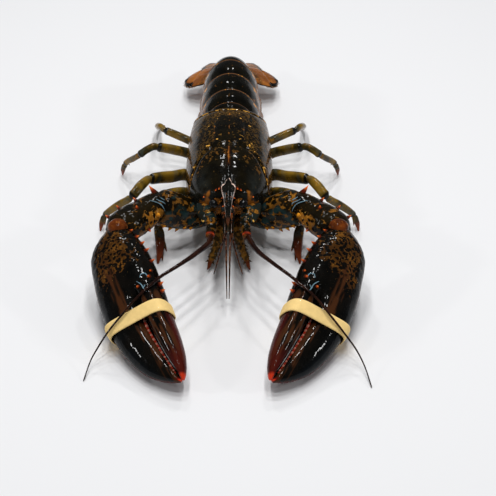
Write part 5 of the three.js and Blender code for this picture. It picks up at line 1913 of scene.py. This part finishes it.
# %% Measures of the legs
LEGS = [
    # rows of the upper and the lower part, which of the lower rows are joints, and the prongs beside the toe
    {
        "upper": [
            [9, -48, 12.5, 3.2, 4.2],
            [18, -49, 14, 3.1, 4.2],
            [28, -49.5, 22, 3, 4.4],
            [41, -58, 28, 2.9, 4.3],
            [49.5, -64.5, 29, 2.7, 3.8],
            [51.5, -66.5, 28.6, 2, 2.8],
        ],
        "lower": [
            [50.5, -65.5, 28.6, 1.9, 2.6],
            [51.5, -69, 27, 2.6, 3.1],
            [49.5, -74.5, 20.5, 2.8, 3.3],
            [48, -77, 17, 2.2, 2.6],
            [46.5, -81.5, 12.6, 3.1, 3.4],
            [46, -86.5, 9.4, 3.2, 3.2],
            [46, -91, 6.4, 2.6, 2.6],
            [46.8, -95, 2.8, 1.3, 1.4],
            [47.3, -97.6, 0.6, 0.6, 0.6],
        ],
        "joints": [3],
        "prongs": [(45, -89, 7.6, 44.2, -95.6, 1.8, 1.5), (43.8, -86, 10, 41.6, -91.6, 6.4, 1.3)],
    },
    {
        "upper": [
            [9, -29, 12.5, 3.2, 4.1],
            [18, -27.5, 14.5, 3.1, 4.2],
            [28, -28, 22.5, 2.9, 4.2],
            [40, -39, 29.5, 2.9, 4.3],
            [50.5, -48, 34.6, 2.8, 4],
            [54, -51, 35.8, 2, 2.8],
        ],
        "lower": [
            [53, -50, 35.6, 1.8, 2.6],
            [55.6, -53, 36.4, 2.4, 3],
            [59.5, -59, 36, 2.7, 3.4],
            [63.6, -65.5, 34.2, 2.6, 3.2],
            [65.5, -66.5, 32.2, 1.9, 2.4],
            [74, -63.5, 24, 2.1, 2.7],
            [82.6, -60, 14.6, 1.9, 2.3],
            [84.6, -59.4, 11.6, 1.7, 2.1],
            [87, -59.6, 5.6, 1.5, 1.8],
            [88.2, -61.2, 0.2, 0.45, 0.5],
        ],
        "joints": [4, 7],
        "prongs": [(84.4, -60.4, 12.2, 84.6, -63.4, 6.6, 1.1)],
    },
    {
        "upper": [
            [8.5, -10, 12.5, 2.9, 3.7],
            [17, -4, 14, 2.8, 3.7],
            [28, 1, 20.5, 2.6, 3.7],
            [39, -3, 27, 2.5, 3.7],
            [48, -7, 31.8, 2.4, 3.4],
            [51, -8, 33, 1.8, 2.5],
        ],
        "lower": [
            [50.2, -7.7, 32.8, 1.6, 2.3],
            [53, -8, 33.2, 2, 2.5],
            [57.5, -9.8, 32, 2.1, 2.6],
            [61.6, -11.2, 29.6, 2.1, 2.6],
            [63, -10.3, 27.8, 1.6, 2],
            [68, -5, 21, 1.8, 2.2],
            [73, 0.3, 14.4, 1.6, 2],
            [74.4, 1.8, 11.4, 1.6, 1.9],
            [76.4, 3.8, 5.4, 1.4, 1.7],
            [77, 4.8, 0.1, 0.4, 0.45],
        ],
        "joints": [4, 7],
        "prongs": [(73.2, 0.6, 14.6, 71.6, 3.4, 9.6, 0.9)],
    },
    {
        "upper": [
            [8, 6, 13, 2.5, 3.1],
            [16, 11.5, 15, 2.4, 3.1],
            [28, 15.5, 21.5, 2.2, 3],
            [37, 18, 24.8, 2.1, 3],
            [44.5, 20, 27.2, 2, 2.7],
            [47, 20.8, 27.8, 1.5, 2.1],
        ],
        "lower": [
            [46.2, 20.5, 27.6, 1.4, 2],
            [48.6, 23.5, 27.8, 1.9, 2.3],
            [51.4, 30, 25, 2.1, 2.4],
            [52.4, 33.5, 22.5, 1.6, 2],
            [53.6, 46, 13.5, 1.7, 2],
            [54, 55, 8, 1.5, 1.8],
            [53.5, 58.5, 6, 1.1, 1.4],
            [51.8, 63.5, 2.8, 0.9, 1],
            [49.6, 67.6, 0.4, 0.4, 0.45],
        ],
        "joints": [3, 6],
        "prongs": [(53.6, 53.6, 9, 52, 58.4, 5.4, 0.9)],
    },
]
print("rows of the legs:", [len(leg["upper"]) + len(leg["lower"]) for leg in LEGS])
LEG_CORNER = 2.6
HIP_SHARE = 0.82  # place of the hip joint, as a share of the distance to the upper part's third row
HIP_GAP = 0.3
JOINT_GAP = 0.2


# %% Build the legs, tube by tube
def add_tube(shell, limb, side, start, end, toe=False, root=False):
    """One tube of a leg between two distances: a dark cuff at each joint and skin in the joint."""

    def section(s, degrees):
        scale = 1 - 0.2 * hump(s - end, 0.7) * (not toe) + 0.07 * hump(s - end + 2.2, 1.2) * (not toe)
        return scale - 0.2 * hump(s - start, 0.8) * (not root) + 0.05 * hump(s - start - 2, 1.0)

    reach = end - start
    domes = (0.8, 0.4 if toe else 1.0)
    points, s, _ = limb.grid(max(14, int(reach * 2)), 36, domes, section, start, end)
    points[..., 2] = np.maximum(points[..., 2], 0)
    lumps = roughness_of(points, 4.2)
    cuff = hump(s - end + 1.2, 2) * (not toe)
    ankle = hump(s - start - 1.6, 1.3) * (not root)
    tip = smoothstep(s, start + 0.1 * reach, end - 0.1 * reach) * toe
    shell.add(
        points,
        side,
        warm=0.3 + 0.5 * lumps + 0.35 * tip - 0.2 * cuff,
        amber=1.2 * cuff,
        blue=0.25 * ankle * (not toe) + 0.3 * smoothstep(-lumps, 0, 0.3) * (1 - tip),
        red=0.75 * tip,
    )


def add_prong(shell, side, x, y, z, tip_x, tip_y, tip_z, radius):
    """A small fixed finger beside a leg's toe."""
    root, tip = np.array((x, y, z)), np.array((tip_x, tip_y, tip_z))
    stations = ((root, 1), ((root + tip) / 2, 0.75), (tip, 0.25))
    prong = Limb([[*place, scale * radius, scale * radius] for place, scale in stations])
    points, s, _ = prong.grid(16, 20, domes=(0.5, 0.3))
    share = s / prong.length
    shell.add(points, side, warm=0.4 + 0.3 * share, red=0.5 * smoothstep(share, 0.4, 1), blue=0.1)


def build_leg(leg, number, side, label):
    prefix = "leg_%d_" % number
    upper = Limb(leg["upper"], across=None, corner=LEG_CORNER)
    hip = upper.stops[2] * HIP_SHARE
    shell = Shell()
    add_tube(shell, upper, side, 0, hip, root=True)
    add_tube(shell, upper, side, hip + HIP_GAP, upper.length)
    shell.finish(prefix + "thigh_" + label, "leg", "leg", prefix + label + "_upper")

    lower = Limb(leg["lower"], across=upper.frame(0.0)[2], corner=LEG_CORNER)
    stops = [0.0] + [lower.stops[i] for i in leg["joints"]] + [lower.length]
    shell = Shell()
    for i, (start, end) in enumerate(zip(stops[:-1], stops[1:])):
        add_tube(shell, lower, side, start + JOINT_GAP, end, toe=i == len(stops) - 2, root=i == 0)
    for prong in leg["prongs"]:
        add_prong(shell, side, *prong)
    look = "ragged" if number == 1 else "leg"
    shell.finish(prefix + "shin_" + label, look, "leg", prefix + label + "_lower")
    if number == 1:
        rows = ragged_rows(lower, side, 14, 26, 6)
        grow_thorns("leg_bristles_" + label, rows, "ragged", "leg", Hot=0.0)


for label, side in SIDES.items():
    for number, leg in enumerate(LEGS, start=1):
        build_leg(leg, number, side, label)
print("legs:", 2 * len(LEGS))

# %% [markdown]
# ## The breastplate
#
# Between the legs lies a narrow keel of fused plates, pale and ribbed crosswise.

# %% Sweep the breastplate
STERNUM = Limb([
    [0, 4, 17, 7, 5],
    [0, -12, 15.5, 8.5, 6],
    [0, -34, 14.5, 9.5, 6.5],
    [0, -56, 15, 10, 7],
    [0, -72, 17.5, 9, 7],
    [0, -80, 21, 7, 6],
], corner=2.6)
STERNUM_RIBS = joints_at([12, 28, 46, 64, 76], 0.1, 1.2, 0.05)
shell = Shell().add(STERNUM.grid(90, 56, domes=(1, 1), shape=STERNUM_RIBS)[0], warm=0.4, blue=0.25)
shell.finish("breastplate", "leg", "leg", "sternum")
print("breastplate length in mm:", round(STERNUM.length, 1))
